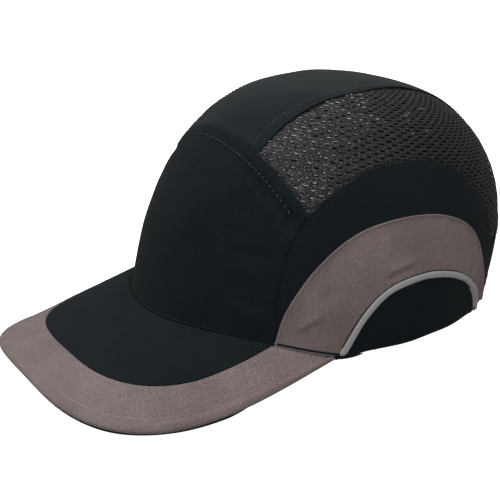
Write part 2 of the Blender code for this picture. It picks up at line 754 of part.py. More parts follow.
def build():
    for obj in list(bpy.data.objects):
        bpy.data.objects.remove(obj)
    for name in ("bump_cap", "cutters"):
        collection = bpy.data.collections.new(name)
        bpy.context.scene.collection.children.link(collection)

    cap = empty("cap_frame", (0, 0, 0))
    cap.rotation_euler.x = -resting_pitch()
    strap_pivot = empty("strap_pivot", (0, STRAP_CENTRE_Y, 0), cap)
    hinge_spot = strap_spot(TAB_HINGE_ANGLE, (STRAP_LOW + STRAP_HIGH) / 2, STRAP_DEPTH)
    tab_hinge = empty("tab_hinge", hinge_spot - strap_pivot.location, strap_pivot)
    liner_guide = empty("liner_guide", (0, CORE_Y, CORE_HEIGHT), cap)

    black = material("black_twill", BLACK, 0.85)
    grey = material("grey_twill", GREY, 0.80)
    silver = material("reflective_tape", SILVER, 0.35)
    mesh = material("mesh_fabric", MESH_BLACK, 0.70)
    plastic = material("shell_plastic", SHELL_GREY, 0.45)
    foam = material("pad_foam", FOAM_GREY, 0.95)
    towel = material("towelling", TOWEL_BLACK, 0.95)
    board = material("brim_board", BOARD_WHITE, 0.50)
    binding = material("binding_tape", BLACK, 0.75)
    hook = material("hook_tape", BLACK, 0.60)
    loop = material("loop_tape", BLACK, 0.95)
    label_cloth = material("label_cloth", LABEL_WHITE, 0.80)

    build_front(black, cap)
    build_crown_strip(black, binding, cap)
    for label, side in (("left", 1), ("right", -1)):
        build_side(label, side, (black, grey, silver, mesh), cap)
    build_yoke(black, binding, cap)
    build_brim((black, grey, board), cap)
    build_sweatband(towel, label_cloth, cap)
    build_strap((black, hook, loop), cap, strap_pivot, tab_hinge)
    build_shell(plastic, cap, liner_guide)
    build_pads(foam, liner_guide)
    settle(cap)


build()
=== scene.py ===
"""The looks of a bump cap: its sewn cloth cover, knitted mesh, piping and brim, the vented shell and
pads inside, and the strap at its nape.

The cloth is laid on the same crown form as the design's solids. Places are worked out in the cap's
own frame, level with the head and with the rim at z = 0: the brim points along -Y and the wearer's
left is +X. The frame's strap joint says how that frame lies in the world. Lengths are in metres.
"""

import json
import math

import bpy
import numpy as np
from mathutils import Matrix, Vector


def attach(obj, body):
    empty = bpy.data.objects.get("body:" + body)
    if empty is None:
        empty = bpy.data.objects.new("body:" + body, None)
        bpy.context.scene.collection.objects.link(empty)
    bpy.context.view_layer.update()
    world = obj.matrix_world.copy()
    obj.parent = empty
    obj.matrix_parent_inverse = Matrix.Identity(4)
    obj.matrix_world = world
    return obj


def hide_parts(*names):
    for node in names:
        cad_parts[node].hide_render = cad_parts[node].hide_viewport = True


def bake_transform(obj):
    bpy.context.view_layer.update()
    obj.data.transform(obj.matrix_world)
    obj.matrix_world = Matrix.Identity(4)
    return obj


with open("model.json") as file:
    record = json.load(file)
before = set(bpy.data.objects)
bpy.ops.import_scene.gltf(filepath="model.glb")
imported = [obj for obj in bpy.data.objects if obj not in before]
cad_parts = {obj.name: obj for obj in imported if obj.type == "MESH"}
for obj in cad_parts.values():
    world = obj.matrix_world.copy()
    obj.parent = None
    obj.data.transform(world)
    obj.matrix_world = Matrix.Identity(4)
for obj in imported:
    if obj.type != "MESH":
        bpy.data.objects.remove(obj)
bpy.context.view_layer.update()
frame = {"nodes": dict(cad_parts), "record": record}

# The crown's outer form.
CROWN_FRONT = 0.0976
CROWN_REAR = 0.1244
CROWN_HALF_WIDTH = 0.0921
CROWN_HEIGHT = 0.1207
CROWN_SWELL = 0.058
CROWN_LEAN = 0.0247
BROW_FULLNESS = 0.554
SIDE_FULLNESS = 0.738
NAPE_FULLNESS = 1.041
RISE_FULLNESS = 0.851
NAPE_TUCK = 0.077
TUCK_HEIGHT = 0.063
CORE_Y = 0.012
CORE_HEIGHT = 0.030
CORE = np.array([0, CORE_Y, CORE_HEIGHT])
STRAP_CENTRE_Y = 0.0450

# The brim's bent sheet.
BRIM_HEIGHT = 0.0093
BRIM_SLOPE = 0.248
BRIM_BEND = 0.634
BRIM_BEND_FOURTH = 388.8
BRIM_HALF_WIDTH = 0.0854
BRIM_REAR_Y = -0.0338
BRIM_REACH = 0.1318
BRIM_SQUARENESS = 3.57
EDGE_HALF_WIDTH = 0.068
EDGE_REAR_Y = -0.0635
EDGE_REACH = 0.080
EDGE_SQUARENESS = 3.1
BRIM_JOIN_ANGLE = 69.0
EDGE_JOIN_ANGLE = 49.5
BRIM_THICKNESS = 0.0040
UNDERSIDE_ROWS = (0.006, 0.014, 0.022, 0.030, 0.038)

# Seams: points of smooth lines, given as (y, z) seen from the side.
CROWN_STRIP_HALF_WIDTH = 0.0330
FRONT_SEAM_Y = -0.0530
FRONT_SEAM_BEND = 2.8
FRONT_SEAM_HALF_WIDTH = 0.0640
FRONT_SIDE_SEAM = ((-0.0627, 0.0041), (-0.0590, 0.0310), (-0.0520, 0.0515), (-0.0415, 0.0670))
INSERT_ARCH = (
    (-0.0627, 0.0041), (-0.0565, 0.0220), (-0.0413, 0.0433), (-0.0207, 0.0580), (0.0052, 0.0628),
    (0.0307, 0.0595), (0.0517, 0.0478), (0.0648, 0.0240), (0.0745, 0.0000),
)
PIPING_ARCH = (
    (-0.0340, -0.0002), (-0.0222, 0.0186), (-0.0080, 0.0300), (0.0120, 0.0334), (0.0300, 0.0305),
    (0.0440, 0.0247), (0.0532, 0.0176), (0.0590, 0.0085), (0.0618, 0.0000),
)
SIDE_ARCH = (
    (-0.0415, 0.0670), (-0.0256, 0.0784), (-0.0011, 0.0876), (0.0262, 0.0868), (0.0498, 0.0769),
    (0.0669, 0.0540), (0.0750, 0.0340),
)
SIDE_REAR_SEAM = ((0.0750, 0.0340), (0.0805, 0.0150), (0.0830, 0.0000))
YOKE_SIDE_HEIGHT = 0.0340
YOKE_TOP_HEIGHT = 0.0560
YOKE_HALF_ANGLE = 55.0
ARCH_HALF_WIDTH = 0.0380
ARCH_HEIGHT = 0.0440

CLOTH = 0.0008
PIPING_WIDTH = 0.0034
PIPING_HEIGHT = 0.0013
PAD_THICKNESS = 0.0048

# The knit: its cells, the places that its rows run past, and how far they fall towards the rear.
KNIT_CELL = 0.00117
KNIT_ROWS = (0.00136, 0.00058)
KNIT_COLUMNS = 192
KNIT_ROW_PAIRS = 58
KNIT_MIDDLE_Y = 0.022
KNIT_MIDDLE_Z = 0.0935
KNIT_FALL = 0.16
KNIT_CURVE = 0.078


def mix(low, high, share):
    return low + (high - low) * share


def smoothed(share):
    share = np.clip(share, 0, 1)
    return share * share * (3 - 2 * share)


def unit(vectors):
    return vectors / np.maximum(np.linalg.norm(vectors, axis=-1, keepdims=True), 1e-12)


def upright(run, out):
    """The part of a direction that is square to a run, as a unit vector."""
    return unit(out - run * (out * run).sum(axis=-1, keepdims=True))


def course(middle):
    """Unit vectors along a line of places."""
    return unit(np.gradient(middle, axis=0))


class Form:
    """The crown's shape at a depth below its outside. Angle 0 is the brow and pi the nape."""

    def __init__(self, depth=0.0, rear_ease=0.0, tuck=NAPE_TUCK):
        self.front = CROWN_FRONT - depth
        self.rear = CROWN_REAR - depth - rear_ease
        self.half_width = CROWN_HALF_WIDTH - depth
        self.height = CROWN_HEIGHT - depth
        self.tuck = tuck

    def rise(self, z):
        sine = np.clip(z / self.height, 0, 1) ** (1 / RISE_FULLNESS)
        return sine, np.sqrt(np.maximum(1 - sine * sine, 0))

    def reach(self, angle, z):
        """The section's size at a height, as a share of its size at the rim."""
        cosine = self.rise(z)[1]
        front = np.maximum(np.cos(angle), 0) ** 2
        rear = np.maximum(-np.cos(angle), 0) ** 2
        share = front * cosine**BROW_FULLNESS + rear * cosine**NAPE_FULLNESS
        share = share + (1 - front - rear) * cosine**SIDE_FULLNESS
        return share * (1 - rear * self.tuck * np.maximum(1 - z / TUCK_HEIGHT, 0) ** 2)

    def half_sizes(self, angle):
        length = np.where(np.cos(angle) > 0, self.front, self.rear)
        return self.half_width * (1 - CROWN_SWELL * np.cos(angle)), length

    def point(self, angle, z):
        angle = np.asarray(angle, float)
        z = np.broadcast_to(np.asarray(z, float), angle.shape)
        width, length = self.half_sizes(angle)
        reach = self.reach(angle, z)
        lean = CROWN_LEAN * self.rise(z)[0]
        x = width * reach * np.sin(angle)
        return np.stack([x, lean - length * reach * np.cos(angle), z], -1)

    def holds(self, places):
        """Which of these places are inside the form."""
        x, y, z = np.moveaxis(places, -1, 0)
        forward = CROWN_LEAN * self.rise(z)[0] - y
        length = np.where(forward > 0, self.front, self.rear)
        angle = np.arctan2(x / self.half_width, forward / length)
        for _ in range(4):
            angle = np.arctan2(x / self.half_sizes(angle)[0], forward / length)
        size = np.hypot(x / self.half_sizes(angle)[0], forward / length)
        return (z < self.height) & (size < self.reach(angle, z))

    def cast(self, starts, directions):
        """Where rays from inside meet the form."""
        near = np.zeros(directions.shape[:-1])
        far = np.full(directions.shape[:-1], 0.3)
        for _ in range(26):
            middle = (near + far) / 2
            inside = self.holds(starts + directions * middle[..., None])
            near = np.where(inside, middle, near)
            far = np.where(inside, far, middle)
        return starts + directions * near[..., None]

    def lay(self, places):
        """Moves rough places onto the form, along rays from its core line."""
        level = np.maximum(places[..., 2], 0)
        cores = np.zeros_like(places)
        cores[..., 1] = CORE_Y
        cores[..., 2] = np.minimum(level, CORE_HEIGHT)
        rays = np.stack([places[..., 0], places[..., 1], level], -1) - cores
        found = self.cast(cores, unit(rays))
        found[..., 2] += np.minimum(places[..., 2], 0)
        return found

    def from_side(self, y, z, side=1):
        starts = np.stack([np.zeros_like(y), y, z], -1)
        return self.cast(starts, np.broadcast_to([float(side), 0, 0], starts.shape))

    def side_spot(self, y, z, side=1):
        return self.from_side(np.array([y]), np.array([z]), side)[0]

    def from_top(self, x, y):
        starts = np.stack([x, y, np.full_like(x, CORE_HEIGHT)], -1)
        return self.cast(starts, np.broadcast_to([0.0, 0, 1], starts.shape))

    def from_rear(self, x, z):
        starts = np.stack([x, np.full_like(x, CORE_Y), z], -1)
        return self.cast(starts, np.broadcast_to([0.0, 1, 0], starts.shape))


COVER = Form()
LINER_EASE = 0.0095


# --- Lines ---


def smooth_line(points):
    """A smooth line through a few points, for shares from 0 to 1."""
    spots = np.array(points, float)
    ends = np.vstack([2 * spots[0] - spots[1], spots, 2 * spots[-1] - spots[-2]])

    def at(share):
        place = np.clip(share, 0, 1) * (len(spots) - 1)
        index = np.minimum(place.astype(int), len(spots) - 2)
        t = (place - index)[:, None]
        a, b, c, d = ends[index], ends[index + 1], ends[index + 2], ends[index + 3]
        bend = (2 * a - 5 * b + 4 * c - d) * t**2 + (3 * b - a - 3 * c + d) * t**3
        return 0.5 * (2 * b + (c - a) * t + bend)

    return at


def side_line(points, side, offset=0.0):
    """A seam given from the side, laid on the cover. The offset moves it to its left as it runs."""
    line = smooth_line(points)

    def at(share):
        share = np.asarray(share, float)
        spots = line(share)
        along = line(np.minimum(share + 0.01, 1)) - line(np.maximum(share - 0.01, 0))
        left = np.stack([-along[:, 1], along[:, 0]], -1)
        left *= offset / np.linalg.norm(left, axis=1, keepdims=True)
        z = spots[:, 1] + left[:, 1]
        found = COVER.from_side(spots[:, 0] + left[:, 0], np.maximum(z, 0), side)
        found[:, 2] += np.minimum(z, 0)
        return found

    return at


def brim_height(x, y):
    return BRIM_HEIGHT - BRIM_SLOPE * (-y - CROWN_FRONT) - BRIM_BEND * x**2 - BRIM_BEND_FOURTH * x**4


def brim_up(x):
    """The brim's upward normals at these x."""
    fall = 2 * BRIM_BEND * x + 4 * BRIM_BEND_FOURTH * x**3
    return unit(np.stack([fall, np.full_like(x, -BRIM_SLOPE), np.ones_like(x)], -1))


def brim_seam(angle, form=COVER):
    """Where the brim's top surface meets the crown."""
    z = np.zeros_like(angle)
    for _ in range(12):
        spots = form.point(angle, z)
        z = np.maximum(brim_height(spots[:, 0], spots[:, 1]), 0)
    return form.point(angle, z)


def lower_edge(angle, form=COVER, overlap=0.003):
    """The cover's lower edge: just under the brim's seam at the front, and the flat rim behind."""
    seam = brim_seam(angle, form)
    behind = np.cos(angle) < math.cos(math.radians(BRIM_JOIN_ANGLE))
    return form.point(angle, np.where(behind, 0, np.maximum(seam[:, 2] - overlap, 0)))


def wall_foot(angle):
    """The wall's lower edge beside the brim, which runs on a little below the rim behind it."""
    spots = brim_seam(angle)
    z = brim_height(spots[:, 0], spots[:, 1]) - 0.0030
    behind = smoothed((np.degrees(angle) - BRIM_JOIN_ANGLE) / 9)
    height = mix(np.minimum(z, 0.004), 0, behind)
    return COVER.point(angle, np.zeros_like(angle)) * [1, 1, 0] + [0, 0, 1] * height[:, None]


def rounded_outline(half_width, reach, rear_y, squareness):
    """Half of a squared oval in plan, from its right end to its left end."""

    def at(share):
        angle = math.pi * (np.asarray(share, float) - 0.5)
        x = np.sign(angle) * half_width * np.abs(np.sin(angle)) ** (2 / squareness)
        y = rear_y - reach * np.maximum(np.cos(angle), 0) ** (2 / squareness)
        return np.stack([x, y, np.zeros_like(x)], -1)

    return at


def front_seam(share, half_width=FRONT_SEAM_HALF_WIDTH):
    x = mix(-half_width, half_width, np.asarray(share, float))
    return COVER.from_top(x, FRONT_SEAM_Y + FRONT_SEAM_BEND * x**2)


def yoke_top(angle):
    turn = np.minimum(np.abs(np.degrees(angle) - 180) / YOKE_HALF_ANGLE, 1)
    height = mix(YOKE_SIDE_HEIGHT, YOKE_TOP_HEIGHT, (1 + np.cos(math.pi * turn)) / 2)
    return COVER.point(angle, height)


def yoke_angle_at(x):
    """The angle at which the yoke's upper edge is x from the middle, on the +X side."""
    angles = np.linspace(math.radians(180 - YOKE_HALF_ANGLE), math.pi, 400)
    return float(np.interp(-x, -yoke_top(angles)[:, 0], angles))


def crown_seam(share, side, half_width=CROWN_STRIP_HALF_WIDTH):
    """The seam beside the crown strip, from the front seam back to the yoke."""
    share = np.asarray(share, float)
    x = side * half_width
    first = front_seam([0.5 + x / (2 * FRONT_SEAM_HALF_WIDTH)])[0]
    last = yoke_top(np.array([yoke_angle_at(half_width)]))[0]
    start = math.atan2(first[2] - CORE_HEIGHT, CORE_Y - first[1])
    stop = math.atan2(last[2] - CORE_HEIGHT, CORE_Y - last[1])
    angle = mix(start, stop, share)
    rays = np.stack([np.zeros_like(angle), -np.cos(angle), np.sin(angle)], -1)
    return COVER.cast(np.broadcast_to([x, CORE_Y, CORE_HEIGHT], rays.shape), rays)


def length_of(line, count=60):
    spots = line(np.linspace(0, 1, count))
    return float(np.linalg.norm(np.diff(spots, axis=0), axis=1).sum())


# --- From the cap's frame to the world ---


def cap_matrix():
    """How the cap's own frame lies in the world, from the strap joint's place and axis."""
    strap = next(joint for joint in frame["record"]["behaviour"]["joints"] if joint["name"] == "strap_adjust")
    axis = Vector(strap["axis"])
    turn = Matrix.Rotation(-math.atan2(axis.y, axis.z), 4, "X")
    origin = Vector(strap["pos_m"]) - turn.to_3x3() @ Vector((0, STRAP_CENTRE_Y, 0))
    return Matrix.Translation(origin) @ turn


CAP = np.array(cap_matrix())


def to_world(spots):
    return spots @ CAP[:3, :3].T + CAP[:3, 3]


# --- Meshes ---


def deselect():
    bpy.ops.object.select_all(action="DESELECT")


def pick(*objs):
    """Selects these objects alone, the first of them active."""
    deselect()
    for obj in objs:
        obj.select_set(True)
    bpy.context.view_layer.objects.active = objs[0]


def apply_modifier(obj, kind, **settings):
    modifier = obj.modifiers.new(kind.lower(), kind)
    for key, value in settings.items():
        setattr(modifier, key, value)
    bpy.context.view_layer.objects.active = obj
    bpy.ops.object.modifier_apply(modifier=modifier.name)


def dress(obj, name, cloth, body, slot, nodes=()):
    """Names a piece, gives it its finish and hides the parts that it stands for; fastens it to its body when
    it has one.
    """
    obj.name = name
    obj.data.name = name
    obj.data.materials.clear()
    obj.data.materials.append(cloth)
    obj.data.shade_smooth()
    if body:
        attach(obj, body)
    if nodes:
        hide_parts(*nodes)
    return obj


def normals_of(spots, inner=CORE):
    """Unit normals of a grid of places, pointing away from an inner place."""
    normals = unit(np.cross(np.gradient(spots, axis=0), np.gradient(spots, axis=1)))
    return normals * np.sign((normals * (spots - inner)).sum(axis=-1).mean())


def ruler(length, step, fine=(0.0, 0.0003, 0.0007, 0.0012, 0.0018, 0.0026)):
    """Shares along a length, close together at both ends and a step apart between them."""
    middle = np.linspace(fine[-1], length - fine[-1], max(3, round((length - 2 * fine[-1]) / step)))
    return np.concatenate([fine[:-1], middle, length - np.array(fine[-2::-1])]) / length


def coons(us, vs, bottom, top, left=None, right=None):
    """A grid of places between four edges: bottom and top run along, left and right run upwards."""
    low, high = bottom(us), top(us)
    u, v = us[:, None, None], vs[None, :, None]
    start = (low[0][None] * (1 - vs[:, None]) + high[0][None] * vs[:, None]) if left is None else left(vs)
    stop = (low[-1][None] * (1 - vs[:, None]) + high[-1][None] * vs[:, None]) if right is None else right(vs)
    straight = low[:, None] * (1 - v) + high[:, None] * v
    across = start[None] * (1 - u) + stop[None] * u
    corners = mix(mix(low[0], low[-1], u), mix(high[0], high[-1], u), v)
    return straight + across - corners


def grid_mesh(spots, metres=None):
    """A grid primitive whose points are put at these places of the cap's frame, with a UV map in metres."""
    columns, rows = spots.shape[:2]
    deselect()
    bpy.ops.mesh.primitive_grid_add(x_subdivisions=columns - 1, y_subdivisions=rows - 1, size=1)
    obj = bpy.context.object
    mesh = obj.data
    mesh.vertices.foreach_set("co", to_world(spots.transpose(1, 0, 2).reshape(-1, 3)).ravel())
    if metres is None:
        along = np.linalg.norm(np.diff(spots, axis=0), axis=-1).mean(axis=1)
        across = np.linalg.norm(np.diff(spots, axis=1), axis=-1).mean(axis=0)
        s = np.concatenate([[0], np.cumsum(along)])
        t = np.concatenate([[0], np.cumsum(across)])
        metres = np.stack(np.meshgrid(s, t, indexing="ij"), -1)
    corners = np.empty(len(mesh.loops), np.int32)
    mesh.loops.foreach_get("vertex_index", corners)
    flat = metres.transpose(1, 0, 2).reshape(-1, 2)
    mesh.uv_layers[0].data.foreach_set("uv", flat[corners].ravel())
    mesh.update()
    return obj


def face_out(obj, inner=CORE):
    """Turns a sheet's faces so that they look away from a place of the cap's frame."""
    inner = Vector(to_world(np.array(inner, float)))
    facing = sum(face.normal.dot(face.center - inner) for face in obj.data.polygons)
    if facing < 0:
        obj.data.flip_normals()


class Edge:
    """How a panel's edge is sewn: it rolls under at the seam, may be doubled into a raised band, and
    may carry a row of stitches in a shallow groove."""

    def __init__(self, roll=0.0009, roll_width=0.0013, band=0.0, band_width=0.006, stitches=()):
        self.roll = roll
        self.roll_width = roll_width
        self.band = band
        self.band_width = band_width
        self.stitches = stitches

    def height(self, distance):
        share = np.clip(1 - distance / self.roll_width, 0, 1)
        height = -self.roll * (1 - np.sqrt(1 - share**2))
        height = height + self.band * smoothed((self.band_width - distance) / 0.0012)
        for place in self.stitches:
            height = height - 0.00018 * np.exp(-(((distance - place) / 0.0005) ** 2))
        return height


PLAIN = Edge()
HEM = Edge(roll=0.0005, roll_width=0.0008)


def sewn_height(spots, edges):
    """Height that the sewing gives a panel. The edges are for the start and end of u, then of v."""
    height = np.zeros(spots.shape[:2])
    along = np.linalg.norm(np.diff(spots, axis=0), axis=-1)
    across = np.linalg.norm(np.diff(spots, axis=1), axis=-1)
    u = np.vstack([np.zeros(spots.shape[1]), np.cumsum(along, axis=0)])
    v = np.hstack([np.zeros((spots.shape[0], 1)), np.cumsum(across, axis=1)])
    distances = (u, u[-1:] - u, v, v[:, -1:] - v)
    for edge, distance in zip(edges, distances):
        if edge is not None:
            height += edge.height(distance)
    return height


def sway(spots, amount, seed):
    """A slight unevenness, as of cloth over a shell."""
    turns = np.random.default_rng(seed)
    height = np.zeros(spots.shape[:2])
    for _ in range(7):
        wave = turns.normal(size=3)
        wave *= 2 * math.pi / turns.uniform(0.022, 0.060) / np.linalg.norm(wave)
        height += np.sin(spots @ wave + turns.uniform(0, 2 * math.pi))
    return amount * height / 2.6


def crease(spots, start, end, width, height, bow=0.0):
    """A fold of the cloth between two places, highest at its middle and fading to both ends."""
    start, end = np.array(start, float), np.array(end, float)
    run = end - start
    share = ((spots - start) @ run) / (run @ run)
    side = np.cross(run / np.linalg.norm(run), [0.0, 0, 1.0])
    nearest = start + np.clip(share, 0, 1)[..., None] * run
    nearest = nearest + (bow * np.sin(np.clip(share, 0, 1) * math.pi))[..., None] * side
    distance = np.linalg.norm(spots - nearest, axis=-1)
    fade = smoothed(np.clip(1 - np.abs(2 * share - 1), 0, 1) * 1.6)
    return height * fade * np.exp(-((distance / width) ** 2))


def panel(name, spots, edges, cloth, slot, nodes, lift, grain=None):
    """A cloth panel: rough places laid on the cover, shaped by its sewing and folds, and thickened."""
    spots = COVER.lay(spots)
    metres = None if grain is None else grain(spots)
    height = sewn_height(spots, edges) + lift(spots)
    obj = grid_mesh(spots + normals_of(spots) * height[..., None], metres)
    face_out(obj)
    apply_modifier(obj, "SOLIDIFY", thickness=CLOTH, offset=-1)
    return dress(obj, name, cloth, "cover", slot, nodes)


def side_grain(spots):
    """The weave runs straight across a side panel, as it was cut from flat cloth."""
    return spots[..., 1:3].copy()


def gathers(spots, seam_row, depth, period, fade, seed):
    """Small puckers that run away from a seam, given by the last or first row of a grid."""
    run = np.concatenate([[0], np.cumsum(np.linalg.norm(np.diff(spots[:, seam_row], axis=0), axis=1))])
    distance = np.linalg.norm(spots - spots[:, [seam_row]], axis=-1)
    turns = np.random.default_rng(seed)
    wave = np.zeros_like(run)
    for share in (0.7, 1.0, 1.37):
        wave += np.sin(2 * math.pi * run / (period * share) + turns.uniform(0, 6.28))
    return depth * wave[:, None] / 2 * np.exp(-distance / fade)


def beads(name, middle, along, outwards, size, material, body, slot):
    """Small beads of thread, all copies of one, at these places and along these directions."""
    along = unit(along)
    outwards = upright(along, outwards)
    across = np.cross(outwards, along)
    deselect()
    bpy.ops.mesh.primitive_uv_sphere_add(segments=8, ring_count=5, radius=0.5)
    bead = bpy.context.object
    mesh = bead.data
    shape = np.array([vertex.co for vertex in mesh.vertices])
    faces = [list(face.vertices) for face in mesh.polygons]
    width, thick, length = (np.reshape(value, (-1, 1, 1)) for value in size)
    spots = (
        middle[:, None]
        + along[:, None] * shape[None, :, 2:3] * length
        + across[:, None] * shape[None, :, 0:1] * width
        + outwards[:, None] * shape[None, :, 1:2] * thick
    )
    starts = range(0, len(middle) * len(shape), len(shape))
    copied = [[corner + start for corner in face] for start in starts for face in faces]
    row = bpy.data.meshes.new(name)
    row.from_pydata(to_world(spots.reshape(-1, 3)).tolist(), [], copied)
    bead.data = row
    bpy.data.meshes.remove(mesh)
    return dress(bead, name, material, body, slot)


def stitch_row(
    name, line, body, slot, thread, pitch=0.0026, length=0.0018, width=0.00042, lift=0.0,
):
    """A row of sewn stitches along a line of the cap."""
    count = max(2, int(length_of(line) / pitch))
    shares = (np.arange(count) + 0.5) / count
    middle = line(shares)
    along = line(np.minimum(shares + 0.004, 1)) - line(np.maximum(shares - 0.004, 0))
    away = unit(middle - CORE)
    size = (width, width * 0.8, length)
    return beads(name, middle + away * lift, along, away, size, thread, body, slot)


# --- Finishes ---


class Finish:
    """A procedural material: a Principled shader and the nodes that feed it."""

    def __init__(self, name, roughness, sheen=0.0, coat=0.0, specular=0.5):
        self.material = bpy.data.materials.new(name)
        self.material.use_nodes = True
        self.tree = self.material.node_tree
        self.shader = self.tree.nodes["Principled BSDF"]
        self.shader.inputs["Roughness"].default_value = roughness
        self.shader.inputs["Sheen Weight"].default_value = sheen
        self.shader.inputs["Sheen Roughness"].default_value = 0.45
        self.shader.inputs["Coat Weight"].default_value = coat
        self.shader.inputs["Specular IOR Level"].default_value = specular
        self.place = self.node("ShaderNodeTexCoord")

    def node(self, kind, **inputs):
        made = self.tree.nodes.new(kind)
        for key, value in inputs.items():
            socket = made.inputs[key.replace("_", " ")]
            if hasattr(value, "is_output"):
                self.tree.links.new(value, socket)
            else:
                socket.default_value = value
        return made

    def turned(self, source, angle, scale=(1, 1, 1)):
        mapping = self.node("ShaderNodeMapping", Vector=self.place.outputs[source])
        mapping.inputs["Rotation"].default_value = (0, 0, math.radians(angle))
        mapping.inputs["Scale"].default_value = scale
        return mapping.outputs["Vector"]

    def bands(self, vector, period, distortion=0.0, detail_scale=1.0):
        """Sine bands across a vector's first axis, a period apart."""
        wave = self.node("ShaderNodeTexWave", Vector=vector, Scale=0.314 / period, Distortion=distortion)
        wave.bands_direction = "X"
        wave.inputs["Detail Scale"].default_value = detail_scale
        return wave.outputs["Fac"]

    def noise(self, source, size, detail=3.0, roughness=0.55):
        vector = self.place.outputs[source]
        made = self.node("ShaderNodeTexNoise", Vector=vector, Scale=1 / size, Detail=detail)
        made.inputs["Roughness"].default_value = roughness
        return made.outputs["Fac"]

    def ramp(self, fac, *stops):
        made = self.node("ShaderNodeValToRGB", Fac=fac)
        elements = made.color_ramp.elements
        while len(elements) < len(stops):
            elements.new(0.5)
        for element, (position, colour) in zip(elements, stops):
            element.position = position
            element.color = (*colour, 1)
        return made.outputs["Color"]

    def blend(self, fac, first, second, mode="MIX"):
        made = self.tree.nodes.new("ShaderNodeMix")
        made.data_type = "RGBA"
        made.blend_type = mode
        for index, value in ((0, fac), (6, first), (7, second)):
            if hasattr(value, "is_output"):
                self.tree.links.new(value, made.inputs[index])
            else:
                made.inputs[index].default_value = value if index == 0 else (*value, 1)
        return made.outputs[2]

    def sum(self, first, second, operation="ADD"):
        made = self.tree.nodes.new("ShaderNodeMath")
        made.operation = operation
        for index, value in enumerate((first, second)):
            if hasattr(value, "is_output"):
                self.tree.links.new(value, made.inputs[index])
            else:
                made.inputs[index].default_value = value
        return made.outputs[0]

    def colour(self, output):
        self.tree.links.new(output, self.shader.inputs["Base Color"])

    def shades(self, fac, *stops):
        self.colour(self.ramp(fac, *stops))

    def relief(self, height, depth, strength=1.0):
        bump = self.node("ShaderNodeBump", Height=height, Strength=strength, Distance=depth)
        self.tree.links.new(bump.outputs["Normal"], self.shader.inputs["Normal"])


def twill(name, shade, light, rib=0.00080, sheen=0.25, contrast=0.6, lean=53, relief=0.00012):
    """Woven twill: diagonal ribs crossed by fine threads, with the two threads' shades showing."""
    cloth = Finish(name, 0.92, sheen=sheen, specular=0.12)
    ribs = cloth.bands(cloth.turned("UV", lean), rib, distortion=0.6, detail_scale=2.0)
    threads = cloth.bands(cloth.turned("UV", lean - 78), rib * 0.8, distortion=0.4, detail_scale=2.0)
    weave = cloth.sum(ribs, cloth.sum(threads, 0.45, "MULTIPLY"))
    fleck = cloth.noise("Object", 0.0009, 2.0)
    patch = cloth.noise("Object", 0.022, 3.0)
    grain = cloth.sum(cloth.sum(weave, contrast, "MULTIPLY"), cloth.sum(fleck, 1.1, "MULTIPLY"))
    base = cloth.ramp(cloth.sum(grain, 0.5, "MULTIPLY"), (0.30, shade), (0.85, light))
    wear = cloth.ramp(patch, (0.3, (0.35, 0.35, 0.37)), (0.7, (1, 1, 1)))
    cloth.colour(cloth.blend(0.35, base, wear, "MULTIPLY"))
    cloth.relief(cloth.sum(weave, cloth.sum(fleck, 0.5, "MULTIPLY")), relief)
    return cloth.material


